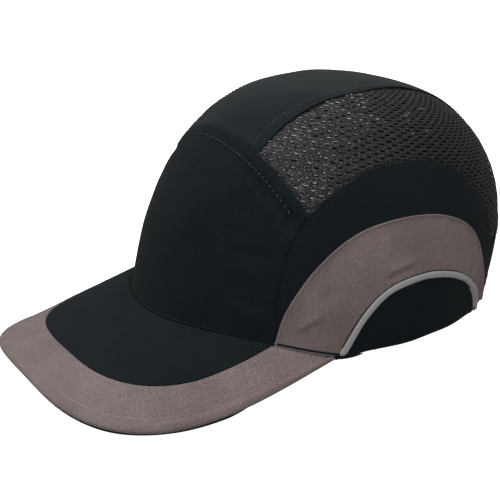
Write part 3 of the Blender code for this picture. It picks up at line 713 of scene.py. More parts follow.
def make_finishes():
    made = {}
    made["black_twill"] = twill(
        "black_twill_cloth", (0.0048, 0.0080, 0.0096), (0.0126, 0.0186, 0.0216), sheen=0.03, contrast=0.35,
        relief=0.00005,
    )
    # The crown strip's twill is the black cloth made lighter: painted light, for a strip that faces the light
    # from above and is seen at a grazing angle.
    made["strip_twill"] = twill(
        "crown_strip_cloth", (0.0080, 0.0126, 0.0142), (0.0205, 0.0290, 0.0322), sheen=0.06, contrast=0.35,
        relief=0.00005,
    )
    made["grey_twill"] = twill(
        "grey_twill_cloth", (0.118, 0.092, 0.091), (0.318, 0.252, 0.245), sheen=0.05, contrast=0.8,
        relief=0.00014,
    )

    tape = Finish("reflective_tape_cloth", 0.5, sheen=0.1, specular=0.5)
    beads = tape.noise("Object", 0.0004, 2.0)
    tape.shades(beads, (0.3, (0.26, 0.25, 0.25)), (0.75, (0.40, 0.39, 0.38)))
    tape.relief(beads, 0.00005)
    made["reflective_tape"] = tape.material

    knit = Finish("mesh_knit_yarn_painted_rear_shade", 0.62, sheen=0.05, specular=0.3)
    grains = knit.noise("Object", 0.0009, 2.0, 0.7)
    yarn = knit.ramp(
        grains, (0.46, (0.002, 0.002, 0.003)), (0.57, (0.027, 0.027, 0.033)), (0.67, (0.180, 0.180, 0.205)),
    )
    # The yarn is painted darker towards the rear, down to a fifth at the back. This is painted shade: the
    # lamps light the mesh's front and leave its rear in shade.
    split = knit.node("ShaderNodeSeparateXYZ", Vector=knit.place.outputs["Object"])
    rearwards = knit.node("ShaderNodeMapRange", Value=split.outputs["Y"])
    rearwards.inputs["From Min"].default_value = -0.030
    rearwards.inputs["From Max"].default_value = 0.070
    fade = knit.ramp(
        rearwards.outputs[0], (0.0, (1, 1, 1)), (0.45, (0.50, 0.48, 0.50)), (1.0, (0.20, 0.20, 0.21)),
    )
    knit.colour(knit.blend(1.0, yarn, fade, "MULTIPLY"))
    knit.relief(grains, 0.0003)
    made["mesh_fabric"] = knit.material

    lining = Finish("mesh_lining_cloth", 0.9, specular=0.1)
    grains = lining.noise("Object", 0.0008)
    lining.shades(grains, (0.3, (0.006, 0.006, 0.007)), (0.7, (0.014, 0.014, 0.016)))
    made["mesh_lining"] = lining.material

    # Pale beads with brighter patches: painted glints, standing in for light that catches inside the mesh's
    # holes.
    glint_paint = Finish("mesh_filament", 0.3, specular=0.8)
    glints = glint_paint.noise("Object", 0.003)
    glint_paint.shades(glints, (0.38, (0.10, 0.10, 0.11)), (0.62, (0.75, 0.75, 0.77)))
    made["filament"] = glint_paint.material

    plastic = Finish("shell_plastic_moulded", 0.34, coat=0.15)
    clouds = plastic.noise("Object", 0.01)
    plastic.shades(clouds, (0.3, (0.012, 0.012, 0.014)), (0.7, (0.020, 0.020, 0.022)))
    plastic.relief(plastic.noise("Object", 0.0006, 2.0), 0.00003)
    made["shell_plastic"] = plastic.material

    foam = Finish("pad_foam_cells", 0.95, sheen=0.1)
    cells = foam.noise("Object", 0.0007, 4.0)
    foam.shades(cells, (0.3, (0.040, 0.041, 0.044)), (0.7, (0.085, 0.087, 0.092)))
    foam.relief(cells, 0.0002)
    made["pad_foam"] = foam.material

    towel = Finish("towelling_loops", 0.97, sheen=0.5)
    pile = towel.noise("Object", 0.0010, 3.0, 0.7)
    towel.shades(pile, (0.3, (0.010, 0.011, 0.012)), (0.75, (0.038, 0.040, 0.043)))
    towel.relief(pile, 0.0005)
    made["towelling"] = towel.material

    band = Finish("binding_ribbed_tape", 0.8, sheen=0.2)
    ribs = band.bands(band.turned("Object", 0), 0.0008, distortion=0.5)
    band.shades(ribs, (0.2, (0.010, 0.012, 0.013)), (0.8, (0.026, 0.030, 0.033)))
    band.relief(ribs, 0.0001)
    made["binding_tape"] = band.material

    hooks = Finish("hook_tape_hooks", 0.5)
    cells = hooks.node("ShaderNodeTexVoronoi", Vector=hooks.place.outputs["Object"], Scale=900.0)
    teeth = cells.outputs["Distance"]
    hooks.shades(teeth, (0.1, (0.050, 0.052, 0.056)), (0.6, (0.010, 0.011, 0.012)))
    hooks.relief(teeth, 0.0005)
    made["hook_tape"] = hooks.material

    loops = Finish("loop_tape_pile", 0.98, sheen=0.6)
    fuzz = loops.noise("Object", 0.0006, 5.0, 0.75)
    loops.shades(fuzz, (0.3, (0.008, 0.009, 0.010)), (0.75, (0.045, 0.047, 0.050)))
    loops.relief(fuzz, 0.0005)
    made["loop_tape"] = loops.material

    label = Finish("label_cloth_weave", 0.8)
    weave = label.bands(label.turned("Object", 20), 0.0005)
    label.shades(weave, (0.2, (0.56, 0.56, 0.55)), (0.8, (0.72, 0.72, 0.71)))
    label.relief(weave, 0.00008)
    made["label_cloth"] = label.material

    board = Finish("brim_board_sheet", 0.6)
    board.shades(board.noise("Object", 0.004), (0.3, (0.45, 0.45, 0.43)), (0.7, (0.55, 0.55, 0.53)))
    made["brim_board"] = board.material

    thread = Finish("black_thread", 0.7, specular=0.2)
    strands = thread.noise("Object", 0.0004)
    thread.shades(strands, (0.3, (0.010, 0.012, 0.014)), (0.7, (0.026, 0.030, 0.033)))
    made["black_thread"] = thread.material

    seam = Finish("worn_seam_thread", 0.6, specular=0.4)
    wear = seam.noise("Object", 0.004)
    seam.shades(wear, (0.35, (0.020, 0.024, 0.026)), (0.65, (0.105, 0.115, 0.120)))
    made["seam_thread"] = seam.material

    pale = Finish("grey_thread", 0.6, sheen=0.2)
    strands = pale.noise("Object", 0.0004)
    pale.shades(strands, (0.3, (0.26, 0.23, 0.235)), (0.7, (0.40, 0.37, 0.37)))
    made["grey_thread"] = pale.material
    return made


# --- The cover ---


def build_front_panel(finish):
    """The forehead panel. Its top edge is doubled under the front seam and stitched down."""
    turn = math.radians(EDGE_JOIN_ANGLE)

    def bottom(share):
        return lower_edge(mix(-turn, turn, share))

    us, vs = ruler(0.140, 0.0013), ruler(0.105, 0.0013)
    sides = [side_line(FRONT_SIDE_SEAM, side) for side in (-1, 1)]
    spots = coons(us, vs, bottom, front_seam, *sides)
    doubled = Edge(
        roll=0.0006, roll_width=0.0010, band=0.0006, band_width=0.0066, stitches=(0.0050,),
    )

    def folds(spots):
        height = sway(spots, 0.00035, 3)
        outer = smoothed((np.abs(spots[..., 0]) - 0.024) / 0.022)
        below = np.linalg.norm(spots - spots[:, [-1]], axis=-1)
        puckers = gathers(spots, -1, 0.00075, 0.0058, 0.014, 31)
        height += puckers * (0.2 + outer) * smoothed((below - 0.004) / 0.003)
        height -= 0.0019 * outer * np.exp(-(((below - 0.0105) / 0.0034) ** 2))
        for side, strength in ((-1, 0.3), (1, 0.8)):
            for reach, low, high, width, depth in (
                (0.030, 0.060, 0.066, 0.0040, 0.0008),
                (0.026, 0.047, 0.050, 0.0032, -0.0008),
                (0.034, 0.036, 0.042, 0.0042, 0.0007),
                (0.022, 0.024, 0.026, 0.0030, -0.0006),
                (0.036, 0.014, 0.024, 0.0045, 0.0009),
            ):
                start = COVER.side_spot(-0.056, low, side)
                end = COVER.lay(start + np.array([-side * reach * 0.75, -reach * 0.7, high - low]))
                height += crease(spots, start, end, width, depth * strength)
        beside = np.minimum(*(np.linalg.norm(spots - spots[[row]], axis=-1) for row in (0, -1)))
        return height * smoothed((beside - 0.001) / 0.007)

    edges = (PLAIN, PLAIN, HEM, doubled)
    cloth = finish["black_twill"]
    panel("front_panel_cloth", spots, edges, cloth, "black_twill", ["front_panel"], folds)

    def row(share):
        share = mix(0.04, 0.96, share)
        x = mix(-FRONT_SEAM_HALF_WIDTH, FRONT_SEAM_HALF_WIDTH, share)
        return COVER.from_top(x, FRONT_SEAM_Y - 0.0046 + FRONT_SEAM_BEND * x**2)

    stitch_row(
        "front_seam_stitches", row, "cover", "black_twill", finish["seam_thread"],
        lift=0.0004, width=0.00034,
    )


def build_crown_strip(finish):
    """The strip over the top, with a stitched band along each side seam."""
    rear = yoke_angle_at(CROWN_STRIP_HALF_WIDTH)
    us, vs = ruler(0.068, 0.0014), ruler(0.215, 0.0018)
    spots = coons(
        us, vs,
        lambda share: front_seam(share, CROWN_STRIP_HALF_WIDTH),
        lambda share: yoke_top(mix(2 * math.pi - rear, rear, share)),
        lambda share: crown_seam(share, -1),
        lambda share: crown_seam(share, 1),
    )
    insets = (0.0014, 0.0054)
    doubled = Edge(roll=0.0003, roll_width=0.0006, band=0.00020, band_width=0.0060, stitches=insets)

    def folds(spots):
        return sway(spots, 0.00025, 5) - 0.0006 * np.exp(-(((spots[..., 1] + 0.047) / 0.006) ** 2))

    edges = (doubled, doubled, PLAIN, Edge(stitches=(0.002,)))
    # The strip takes the lighter copy of the black twill, whose extra lightness is painted top light.
    cloth = finish["strip_twill"]
    panel("crown_strip_cloth", spots, edges, cloth, "black_twill", ["crown_strip"], folds)
    for label, side in (("left", 1), ("right", -1)):
        for number, inset in enumerate(insets):

            def row(share, side=side, inset=inset):
                return crown_seam(mix(0.01, 0.99, share), side, CROWN_STRIP_HALF_WIDTH - inset)

            stitch_row(
                f"crown_stitches_{label}_{number + 1}", row, "cover", "black_twill",
                finish["seam_thread" if number else "black_thread"], lift=0.0002, width=0.00032,
            )


def mesh_spots(side):
    """Places of the knit's cells. Rows run back and slightly down, as planes cut the crown."""
    levels = np.concatenate([[0], np.cumsum(np.tile(KNIT_ROWS, KNIT_ROW_PAIRS))])
    base_y = KNIT_MIDDLE_Y + (np.arange(KNIT_COLUMNS + 1) - KNIT_COLUMNS * 0.36) * KNIT_CELL * 0.97
    # The middle row: where the tilted plane through the panel's middle meets the crown.
    angles = np.linspace(0.05, math.pi + 0.7, 900)
    ring = COVER.point(angles, np.full_like(angles, KNIT_MIDDLE_Z))
    for _ in range(30):
        z = KNIT_MIDDLE_Z - KNIT_FALL * (ring[:, 1] - KNIT_MIDDLE_Y)
        ring = COVER.point(angles, np.clip(z, 0.0, CROWN_HEIGHT * 0.999))
    run = np.concatenate([[0], np.cumsum(np.linalg.norm(np.diff(ring, axis=0), axis=1))])
    near = angles < math.pi - 0.2
    centre = np.interp(KNIT_MIDDLE_Y, ring[near, 1], run[near])
    marks = centre + (base_y - KNIT_MIDDLE_Y)
    spine = np.stack([np.interp(marks, run, ring[:, axis]) for axis in range(3)], -1)
    outwards = surface_normals(spine)
    upwards = np.cross(outwards, course(spine))
    upwards *= np.sign(upwards[:, 2:3])
    cores = spine - outwards * KNIT_CURVE
    turns = ((levels - levels[-1] * 0.58) / KNIT_CURVE)[None, :, None]
    rays = np.cos(turns) * outwards[:, None] + np.sin(turns) * upwards[:, None]
    spots = COVER.cast(np.broadcast_to(cores[:, None], rays.shape), rays)
    s = (np.arange(KNIT_COLUMNS + 1) * KNIT_CELL)[:, None] + 0 * levels[None]
    t = levels[None] + 0 * s[:, :1]
    return spots * [side, 1, 1], np.stack([s, t], -1)


def surface_normals(spots, step=0.0008):
    """The crown's outward normals at places on it."""
    outwards = spots - CORE
    first = unit(np.cross(outwards, [0.0, 0, 1]))
    second = unit(np.cross(outwards, first))
    span = [COVER.lay(spots + sign * step * way) for way in (first, second) for sign in (-1, 1)]
    normals = unit(np.cross(span[1] - span[0], span[3] - span[2]))
    return normals * np.sign((normals * outwards).sum(axis=-1, keepdims=True))


def wall_normals(spots):
    """The outward normals of the cover's side, for lines that may run a little below the rim."""
    return surface_normals(spots * [1, 1, 0] + [0, 0, 1] * np.maximum(spots[:, 2:3], 0.0005))


def inside_outline(points, outline):
    """Which points of a plane are inside a closed outline."""
    x, y = points[..., 0], points[..., 1]
    inside = np.zeros(x.shape, bool)
    for (x0, y0), (x1, y1) in zip(outline, np.roll(outline, -1, axis=0)):
        crosses = (y0 > y) != (y1 > y)
        with np.errstate(divide="ignore", invalid="ignore"):
            inside ^= crosses & (x < (x1 - x0) * (y - y0) / (y1 - y0) + x0)
    return inside


def flattened(spots, side):
    """The cap's side as seen from a point inside it, spread out on a plane."""
    rays = unit(spots - CORE)
    scale = 1 / (1 + rays[..., 0] * side)
    return np.stack([rays[..., 1] * scale, rays[..., 2] * scale], -1)


def mesh_outline(side):
    """The mesh panel's outline, let in a little under its neighbours."""
    side_top = side_line((*SIDE_ARCH, *SIDE_REAR_SEAM[1:]), side)
    arch_share = (len(SIDE_ARCH) - 1) / (len(SIDE_ARCH) + len(SIDE_REAR_SEAM) - 2)
    rear = yoke_angle_at(CROWN_STRIP_HALF_WIDTH)
    turn_rear = math.radians(180 - YOKE_HALF_ANGLE)
    shares = np.linspace(0, 1, 60)
    angles = mix(turn_rear, rear, shares)
    seam_share = 0.5 + side * CROWN_STRIP_HALF_WIDTH / (2 * FRONT_SEAM_HALF_WIDTH)
    front = front_seam(mix(seam_share, 0.5 + side * 0.5, shares))
    edges = [
        side_top(shares * arch_share),
        yoke_top(angles if side > 0 else 2 * math.pi - angles),
        crown_seam(shares[::-1], side),
        front,
    ]
    return np.vstack([flattened(edge[:-1], side) for edge in edges])


def distance_inside(points, outline):
    """How far inside an outline of directions each point is, in metres on the cap's side."""
    nearest = np.full(points.shape[:-1], np.inf)
    for start, end in zip(outline, np.roll(outline, -1, axis=0)):
        run = end - start
        share = np.clip(((points - start) @ run) / max(run @ run, 1e-12), 0, 1)
        nearest = np.minimum(nearest, np.linalg.norm(points - start - share[..., None] * run, axis=-1))
    return nearest * np.where(inside_outline(points, outline), 1, -1) * 0.19


def delete_faces(obj, gone):
    """Deletes the faces that are marked, in the order of the mesh's faces."""
    pick(obj)
    bpy.ops.object.mode_set(mode="EDIT")
    bpy.ops.mesh.select_mode(type="FACE")
    bpy.ops.mesh.select_all(action="DESELECT")
    bpy.ops.object.mode_set(mode="OBJECT")
    obj.data.polygons.foreach_set("select", gone)
    bpy.ops.object.mode_set(mode="EDIT")
    bpy.ops.mesh.delete(type="FACE")
    bpy.ops.object.mode_set(mode="OBJECT")


def build_mesh_panel(label, side, finish):
    """Warp-knitted mesh: a sheet with staggered rows of long holes over a fine dark lining, with pale
    beads showing in some of the holes towards the front: painted glints of light caught in the holes."""
    places, metres = mesh_spots(side)
    columns, rows = places.shape[:2]
    normals = normals_of(places)
    outline = mesh_outline(side)
    inside = distance_inside(flattened(places, side), outline)
    base = mix(-0.0010, -0.00015, smoothed(inside / 0.0022)) + sway(places, 0.0002, 11)
    u, v = np.meshgrid(np.arange(columns), np.arange(rows), indexing="ij")
    turns = np.random.default_rng(41)
    loops = 0.00014 * np.cos(v * math.pi) + 0.00010 * np.cos(u * math.pi)
    loops += turns.normal(0, 0.00009, u.shape)
    slack = turns.normal(0, 0.00010, places.shape)
    spots = places + slack + normals * (base + loops)[..., None]
    obj = grid_mesh(spots, metres)
    # Faces run along x first, as the grid primitive numbers them.
    kept = (inside[:-1, :-1] + inside[1:, 1:]) / 2 > -0.0022
    u, v = u[:-1, :-1], v[:-1, :-1]
    # Each hole is two or three cells of six, and the next row of holes is shifted by half of that.
    place = (u + 3 * ((v // 2) % 2)) % 6
    hole = (v % 2 == 1) & (place < mix(2, 3, smoothed((places[:-1, :-1, 1] - 0.005) / 0.03)))
    delete_faces(obj, (~kept | hole).transpose(1, 0).ravel())
    face_out(obj)
    apply_modifier(obj, "SOLIDIFY", thickness=0.0005, offset=-1)
    apply_modifier(obj, "SUBSURF", levels=1, render_levels=1)
    name = f"mesh_panel_{label}"
    dress(obj, f"{name}_knit", finish["mesh_fabric"], "cover", "mesh_fabric", [name])

    step = (slice(None, None, 4), slice(None, None, 5))
    lining = grid_mesh((places + normals * (base - 0.0012)[..., None])[step], metres[step])
    near = inside[step]
    delete_faces(lining, (np.maximum(near[:-1, :-1], near[1:, 1:]) < -0.0015).transpose(1, 0).ravel())
    face_out(lining)
    apply_modifier(lining, "SUBSURF", levels=1, render_levels=1)
    apply_modifier(lining, "SOLIDIFY", thickness=0.0003, offset=-1)
    dress(lining, f"{name}_lining", finish["mesh_lining"], "cover", "mesh_fabric")

    # Pale beads lie along the edge of some holes, more of them in patches and towards the front where the
    # light falls: painted glints.
    centre = places[1:-1, :-1] * 0.25 + places[1:-1, 1:] * 0.75
    glint_patches = sway(centre, 1.0, 43) + 0.6 * sway(centre, 1.0, 44)
    glint_share = mix(0.95, -0.04, smoothed((centre[..., 1] + 0.045) / 0.100))
    glint_share *= smoothed(glint_patches * 1.2 + 0.70)
    glint_holes = hole[1:] & (place[1:] == 1) & (turns.random(hole[1:].shape) < glint_share)
    glint_holes &= inside[1:-1, :-1] > 0.0010
    along = (places[2:, :-1] - places[:-2, :-1])[glint_holes]
    out = normals[1:-1, :-1][glint_holes]
    depth = (base[1:-1, :-1][glint_holes] + 0.00005)[:, None]
    sizes = turns.uniform(0.45, 1.0, (len(out), 1))
    beads(
        f"{name}_filaments", centre[glint_holes] + out * depth, along, out, (0.00030, 0.00026, 0.0030 * sizes),
        finish["filament"], "cover", "mesh_fabric",
    )


def build_side_panel(label, side, finish):
    """The black panel over the insert, its upper edge turned and stitched over the mesh."""
    us, vs = ruler(0.235, 0.0015), ruler(0.028, 0.0011)
    spots = coons(
        us, vs,
        side_line(INSERT_ARCH, side),
        side_line((*SIDE_ARCH, *SIDE_REAR_SEAM[1:]), side),
        side_line(FRONT_SIDE_SEAM, side),
    )

    def folds(spots):
        return sway(spots, 0.00022, 7) + gathers(spots, -1, 0.00015, 0.007, 0.010, 37)

    turned = Edge(roll=0.0004, roll_width=0.0008, band=0.00015, band_width=0.0035, stitches=(0.0018,))
    edges = (PLAIN, HEM, PLAIN, turned)
    name = f"side_panel_{label}"
    cloth = finish["black_twill"]
    panel(f"{name}_cloth", spots, edges, cloth, "black_twill", [name], folds, side_grain)

    def row(share):
        return side_line(SIDE_ARCH, side, -0.0018)(mix(0.01, 0.99, share))

    stitch_row(
        f"mesh_seam_stitches_{label}", row, "cover", "black_twill", finish["black_thread"], width=0.0003,
    )


def build_insert(label, side, finish):
    """The grey insert, whose outer edge is folded and stands slightly proud of the side panel."""
    us, vs = ruler(0.200, 0.0012), ruler(0.030, 0.0010)
    inner_edge = side_line(PIPING_ARCH, side, PIPING_WIDTH / 2 + 0.0003)
    outer_edge = side_line(((-0.0632, 0.0020), *INSERT_ARCH[1:]), side, 0.0004)

    def foot(share):
        angles = np.linspace(math.radians(40), math.radians(80), 80)
        spots = wall_foot(angles)
        start, end = inner_edge(np.zeros(1))[0], outer_edge(np.zeros(1))[0]
        y = mix(start[1], end[1], share)
        x = np.interp(y, spots[:, 1], spots[:, 0])
        z = np.interp(y, spots[:, 1], spots[:, 2])
        return np.stack([side * x, y, z], -1)

    spots = coons(us, vs, inner_edge, outer_edge, foot)

    def folds(spots):
        height = sway(spots, 0.00016, 13)
        for start, end, width, depth, bow in (
            ((-0.010, 0.0390), (0.008, 0.0435), 0.0017, 0.0010, 0.001),
            ((-0.012, 0.0350), (0.008, 0.0395), 0.0012, -0.0014, 0.001),
            ((-0.056, 0.012), (-0.040, 0.0225), 0.0017, 0.0009, 0.0),
            ((-0.055, 0.009), (-0.041, 0.0185), 0.0013, -0.0010, 0.0),
            ((-0.044, 0.026), (-0.034, 0.034), 0.0030, -0.0004, 0.0),
            ((0.050, 0.024), (0.060, 0.032), 0.0022, -0.0006, 0.0),
        ):
            ends = [COVER.side_spot(y, z, side) for y, z in (start, end)]
            height += crease(spots, *ends, width, depth, bow)
        return height + gathers(spots, 0, 0.00010, 0.006, 0.006, 47)

    folded = Edge(roll=0.0002, roll_width=0.0004, band=0.0010, band_width=0.0020)
    seam = Edge(roll=0.0012, roll_width=0.0012, stitches=(0.0018,))
    edges = (Edge(roll=0.0006, roll_width=0.0010), HEM, seam, folded)
    name = f"side_insert_{label}"
    cloth = finish["grey_twill"]
    panel(f"{name}_cloth", spots, edges, cloth, "grey_twill", [name], folds, side_grain)


def build_lower_panel(label, side, finish):
    """The black panel inside the piping's arch."""
    inside = side_line(PIPING_ARCH, side, -PIPING_WIDTH / 2)
    first, last = inside(np.array([0.0, 0.97]))
    us, vs = ruler(0.095, 0.0014), ruler(0.030, 0.0014)

    def bottom(share):
        y = mix(first[1] - 0.0008, last[1] + 0.0006, share)
        found = COVER.from_side(y, np.zeros_like(y), side)
        found[:, 2] -= 0.0010 * (1 - smoothed((y - first[1]) / 0.014))
        return found

    spots = coons(us, vs, bottom, lambda share: inside(mix(0.0, 0.97, share)))
    name = f"lower_panel_{label}"
    edges = (HEM, HEM, HEM, PLAIN)
    panel(
        f"{name}_cloth", spots, edges, finish["black_twill"], "black_twill", [name],
        lambda s: sway(s, 0.0003, 17), side_grain,
    )
    # The brim's seam allowance is folded back under the rim behind the brim's end.
    angles = np.radians(np.linspace(67.0, 76, 30))
    wall = COVER.point(angles, np.zeros(30)) * [side, 1, 1] - [0, 0, 0.0001]
    size = 0.0010 * np.sin(np.linspace(0.3, 0.98, 30) * math.pi) ** 0.7 + 0.0001
    fold = wall - [0, 0, 1] * (size + 0.0002)[:, None]
    roll(f"brim_end_fold_{label}", fold, size, finish["black_twill"], "black_twill", flatness=0.8)


def build_piping(label, side, finish):
    """Folded reflective tape: a flat bead along the arch, mitred where it turns down at the rear."""
    line = side_line(PIPING_ARCH, side)
    shares = np.linspace(0.0, 1.0, 190)
    middle = line(shares)
    along = course(middle)
    leg = smoothed((shares - 0.742) / 0.022)
    outwards = wall_normals(middle) + np.array([side * 1.4, 0, 0]) * leg[:, None]
    outwards = upright(along, outwards)
    across = np.cross(outwards, along)
    across *= np.sign(across[len(across) // 2, 2])
    flat = np.array([
        (-0.50, -0.7), (-0.50, 0.05), (-0.46, 0.36), (-0.30, 0.52), (-0.05, 0.58), (0.20, 0.58),
        (0.40, 0.50), (0.50, 0.30), (0.50, 0.05), (0.50, -0.7),
    ])
    folded = np.array([
        (-0.58, -0.7), (-0.58, -0.15), (-0.52, 0.05), (-0.30, 0.12), (-0.05, 0.16), (-0.02, 0.72),
        (0.30, 0.80), (0.50, 0.55), (0.52, 0.10), (0.52, -0.7),
    ])
    profile = mix(flat[None], folded[None], leg[:, None, None])
    corner = np.exp(-(((shares - 0.748) / 0.009) ** 2))
    width = PIPING_WIDTH * (1 + 0.035 * np.sin(shares * 47) + 0.75 * leg) * (1 - 0.10 * corner)
    width = width[:, None, None]
    lift = PIPING_HEIGHT * (1 + 0.25 * corner + 0.05 * np.sin(shares * 83))[:, None, None]
    inset = (-0.0007 * leg)[:, None, None]
    spots = (
        middle[:, None]
        + across[:, None] * (profile[..., 0:1] * width + inset)
        + outwards[:, None] * (profile[..., 1:2] * lift + 0.0001)
    )
    obj = grid_mesh(spots)
    face_out(obj)
    apply_modifier(obj, "SOLIDIFY", thickness=0.0004, offset=-1)
    name = f"piping_{label}"
    dress(obj, f"{name}_tape", finish["reflective_tape"], "cover", "reflective_tape", [name])
    # A black cord along the piping's outer seam: partly its stitching, partly a painted shadow of the seam's
    # groove.
    seam = side_line(PIPING_ARCH, side, PIPING_WIDTH / 2 + 0.0001)(np.linspace(0.02, 0.78, 120))
    roll(f"piping_seam_stitch_and_shade_cord_{label}", seam, 0.00042, finish["black_thread"], "black_twill")


def roll(name, middle, radius, material, slot, flatness=1.0):
    """A rolled piece of cloth along a line of places, with closed ends."""
    along = course(middle)
    outwards = upright(along, middle - np.array([0, CORE_Y, 0.02]))
    across = np.cross(outwards, along)
    turns = np.linspace(0, 2 * math.pi, 17)
    size = np.broadcast_to(radius, (len(middle),))[:, None, None]
    spots = (
        middle[:, None]
        + across[:, None] * np.cos(turns)[None, :, None] * size
        + outwards[:, None] * np.sin(turns)[None, :, None] * size * flatness
    )
    obj = grid_mesh(spots)
    close_tube(obj)
    return dress(obj, name, material, "cover", slot)


def arch_line(grow=0.0):
    def at(share):
        angle = math.pi * (np.asarray(share, float) - 0.5)
        x = -(ARCH_HALF_WIDTH + grow) * np.sin(angle)
        return COVER.from_rear(x, (ARCH_HEIGHT + grow) * np.cos(angle))

    return at


def build_yoke(finish):
    """The nape yoke, with the binding round its arch."""
    foot = 0.3

    def bottom(share):
        low = COVER.side_spot(SIDE_REAR_SEAM[-1][0], 0.0)
        ends = arch_line(0.0006)(np.array([0.0, 1.0]))
        arch = arch_line(0.0006)(np.clip((share - foot) / (1 - 2 * foot), 0, 1))
        first = mix(low, ends[0], np.clip(share / foot, 0, 1)[:, None])
        last = mix(low * [-1, 1, 1], ends[1], np.clip((1 - share) / foot, 0, 1)[:, None])
        return np.where((share < foot)[:, None], first, np.where((share > 1 - foot)[:, None], last, arch))

    half = math.radians(YOKE_HALF_ANGLE)
    us, vs = ruler(0.200, 0.0014), ruler(0.030, 0.0013)
    spots = coons(
        us, vs,
        bottom,
        lambda share: yoke_top(mix(math.pi - half, math.pi + half, share)),
        lambda share: side_line(SIDE_REAR_SEAM, 1)(1 - share),
        lambda share: side_line(SIDE_REAR_SEAM, -1)(1 - share),
    )
    turned = Edge(roll=0.0004, roll_width=0.0008, band=0.0004, band_width=0.0035, stitches=(0.0018,))
    edges = (PLAIN, PLAIN, HEM, turned)
    panel(
        "nape_yoke_cloth", spots, edges, finish["black_twill"], "black_twill", ["nape_yoke"],
        lambda s: sway(s, 0.0003, 19),
    )

    def row(share):
        angle = mix(math.pi - half, math.pi + half, mix(0.01, 0.99, share))
        spots = yoke_top(angle)
        return COVER.lay(spots - [0, 0, 0.0018])

    stitch_row("yoke_stitches", row, "cover", "black_twill", finish["black_thread"], lift=0.0004)
    line = arch_line()
    shares = np.linspace(0.012, 0.988, 120)
    middle = line(shares)
    outwards = surface_normals(middle)
    across = np.cross(outwards, course(middle))
    turns = np.linspace(0, 2 * math.pi, 17)
    breadth = 0.0016 * np.sign(np.cos(turns)) * np.abs(np.cos(turns)) ** 0.6
    height = 0.0012 * np.sin(turns) - 0.0006
    spots = middle[:, None] + across[:, None] * breadth[:, None] + outwards[:, None] * height[:, None]
    obj = grid_mesh(spots)
    close_tube(obj)
    dress(obj, "nape_binding_tape", finish["binding_tape"], "cover", "binding_tape", ["nape_binding"])
    inner = arch_line(0.0042)
    stitch_row(
        "nape_arch_stitches", lambda share: inner(mix(0.02, 0.98, share)), "cover", "black_twill",
        finish["black_thread"], lift=0.0001,
    )


def close_tube(obj):
    """Joins the long edges of a rolled grid, fills its ends and turns its faces out."""
    pick(obj)
    bpy.ops.object.mode_set(mode="EDIT")
    bpy.ops.mesh.select_all(action="SELECT")
    bpy.ops.mesh.remove_doubles(threshold=1e-6)
    bpy.ops.mesh.select_all(action="DESELECT")
    bpy.ops.mesh.select_mode(type="EDGE")
    bpy.ops.mesh.select_non_manifold(extend=False)
    bpy.ops.mesh.edge_face_add()
    bpy.ops.mesh.select_all(action="SELECT")
    bpy.ops.mesh.normals_make_consistent(inside=False)
    bpy.ops.object.mode_set(mode="OBJECT")


def build_seam_tapes(finish):
    """Tapes sewn behind the seams, where two cloths meet."""
    half = math.radians(YOKE_HALF_ANGLE)
    lines = [
        ("front_seam_tape", front_seam, 0.007),
        ("yoke_seam_tape", lambda share: yoke_top(mix(math.pi - half, math.pi + half, share)), 0.007),
    ]
    for label, side in (("left", 1), ("right", -1)):
        first, *rest = FRONT_SIDE_SEAM
        lines += [
            (f"insert_seam_tape_{label}", side_line(((-0.0640, -0.0010), *INSERT_ARCH[1:]), side), 0.006),
            (f"piping_seam_tape_{label}", side_line(PIPING_ARCH, side), 0.008),
            (f"front_side_seam_tape_{label}", side_line(((first[0], -0.0010), *rest), side), 0.006),
            (f"mesh_seam_tape_{label}", side_line((*SIDE_ARCH, *SIDE_REAR_SEAM[1:]), side), 0.006),
            (f"crown_seam_tape_{label}_cloth", lambda share, side=side: crown_seam(share, side), 0.011),
        ]
    for name, line, width in lines:
        count = max(12, int(length_of(line) / 0.003))
        middle = line(np.linspace(0, 1, count))
        outwards = wall_normals(middle)
        across = np.cross(outwards, course(middle))
        marks = np.array([-0.5, -0.17, 0.17, 0.5]) * width
        spots = middle[:, None] + across[:, None] * marks[None, :, None]
        spots = COVER.lay(spots) - outwards[:, None] * 0.0015
        obj = grid_mesh(spots)
        face_out(obj)
        apply_modifier(obj, "SOLIDIFY", thickness=0.0003, offset=-1)
        nodes = [name[:-6]] if name.endswith("_cloth") else ()
        dress(obj, name, finish["binding_tape"], "cover", "binding_tape", nodes)


# --- The brim ---


def moved_outline(line, outset):
    """A line in plan moved outwards, by an amount that depends on the place."""

    def at(share):
        spots = line(share)
        along = line(np.minimum(share + 0.002, 1)) - line(np.maximum(share - 0.002, 0))
        out = unit(np.stack([along[:, 1], -along[:, 0], np.zeros(len(along))], -1))
        return spots + out * outset(spots)[:, None]

    return at


def brim_places(plan, depth):
    """Places at depths below the brim's top, under places in plan."""
    x, y = plan[..., 0], plan[..., 1]
    return np.stack([x, y, brim_height(x, y)], -1) - brim_up(x) * np.asarray(depth)[..., None]


def brim_join(limit, start=None, setback=0.0009):
    form = Form(-setback)
    first = -limit if start is None else start

    def at(share):
        return brim_seam(np.radians(mix(first, limit, share)), form)

    return at


def brim_sheet(name, spots, depth, cloth, slot, nodes, inner=(0, -0.1, -1)):
    metres = np.stack([spots[..., 1], -spots[..., 0]], -1)
    obj = grid_mesh(brim_places(spots, depth), metres)
    face_out(obj, inner)
    apply_modifier(obj, "SOLIDIFY", thickness=CLOTH, offset=-1)
    return dress(obj, name, cloth, "cover", slot, nodes)


def distance_to_last_row(spots):
    across = np.linalg.norm(np.diff(spots, axis=1), axis=-1)
    distance = np.cumsum(across[:, ::-1], axis=1)[:, ::-1]
    return np.hstack([distance, np.zeros((len(spots), 1))])


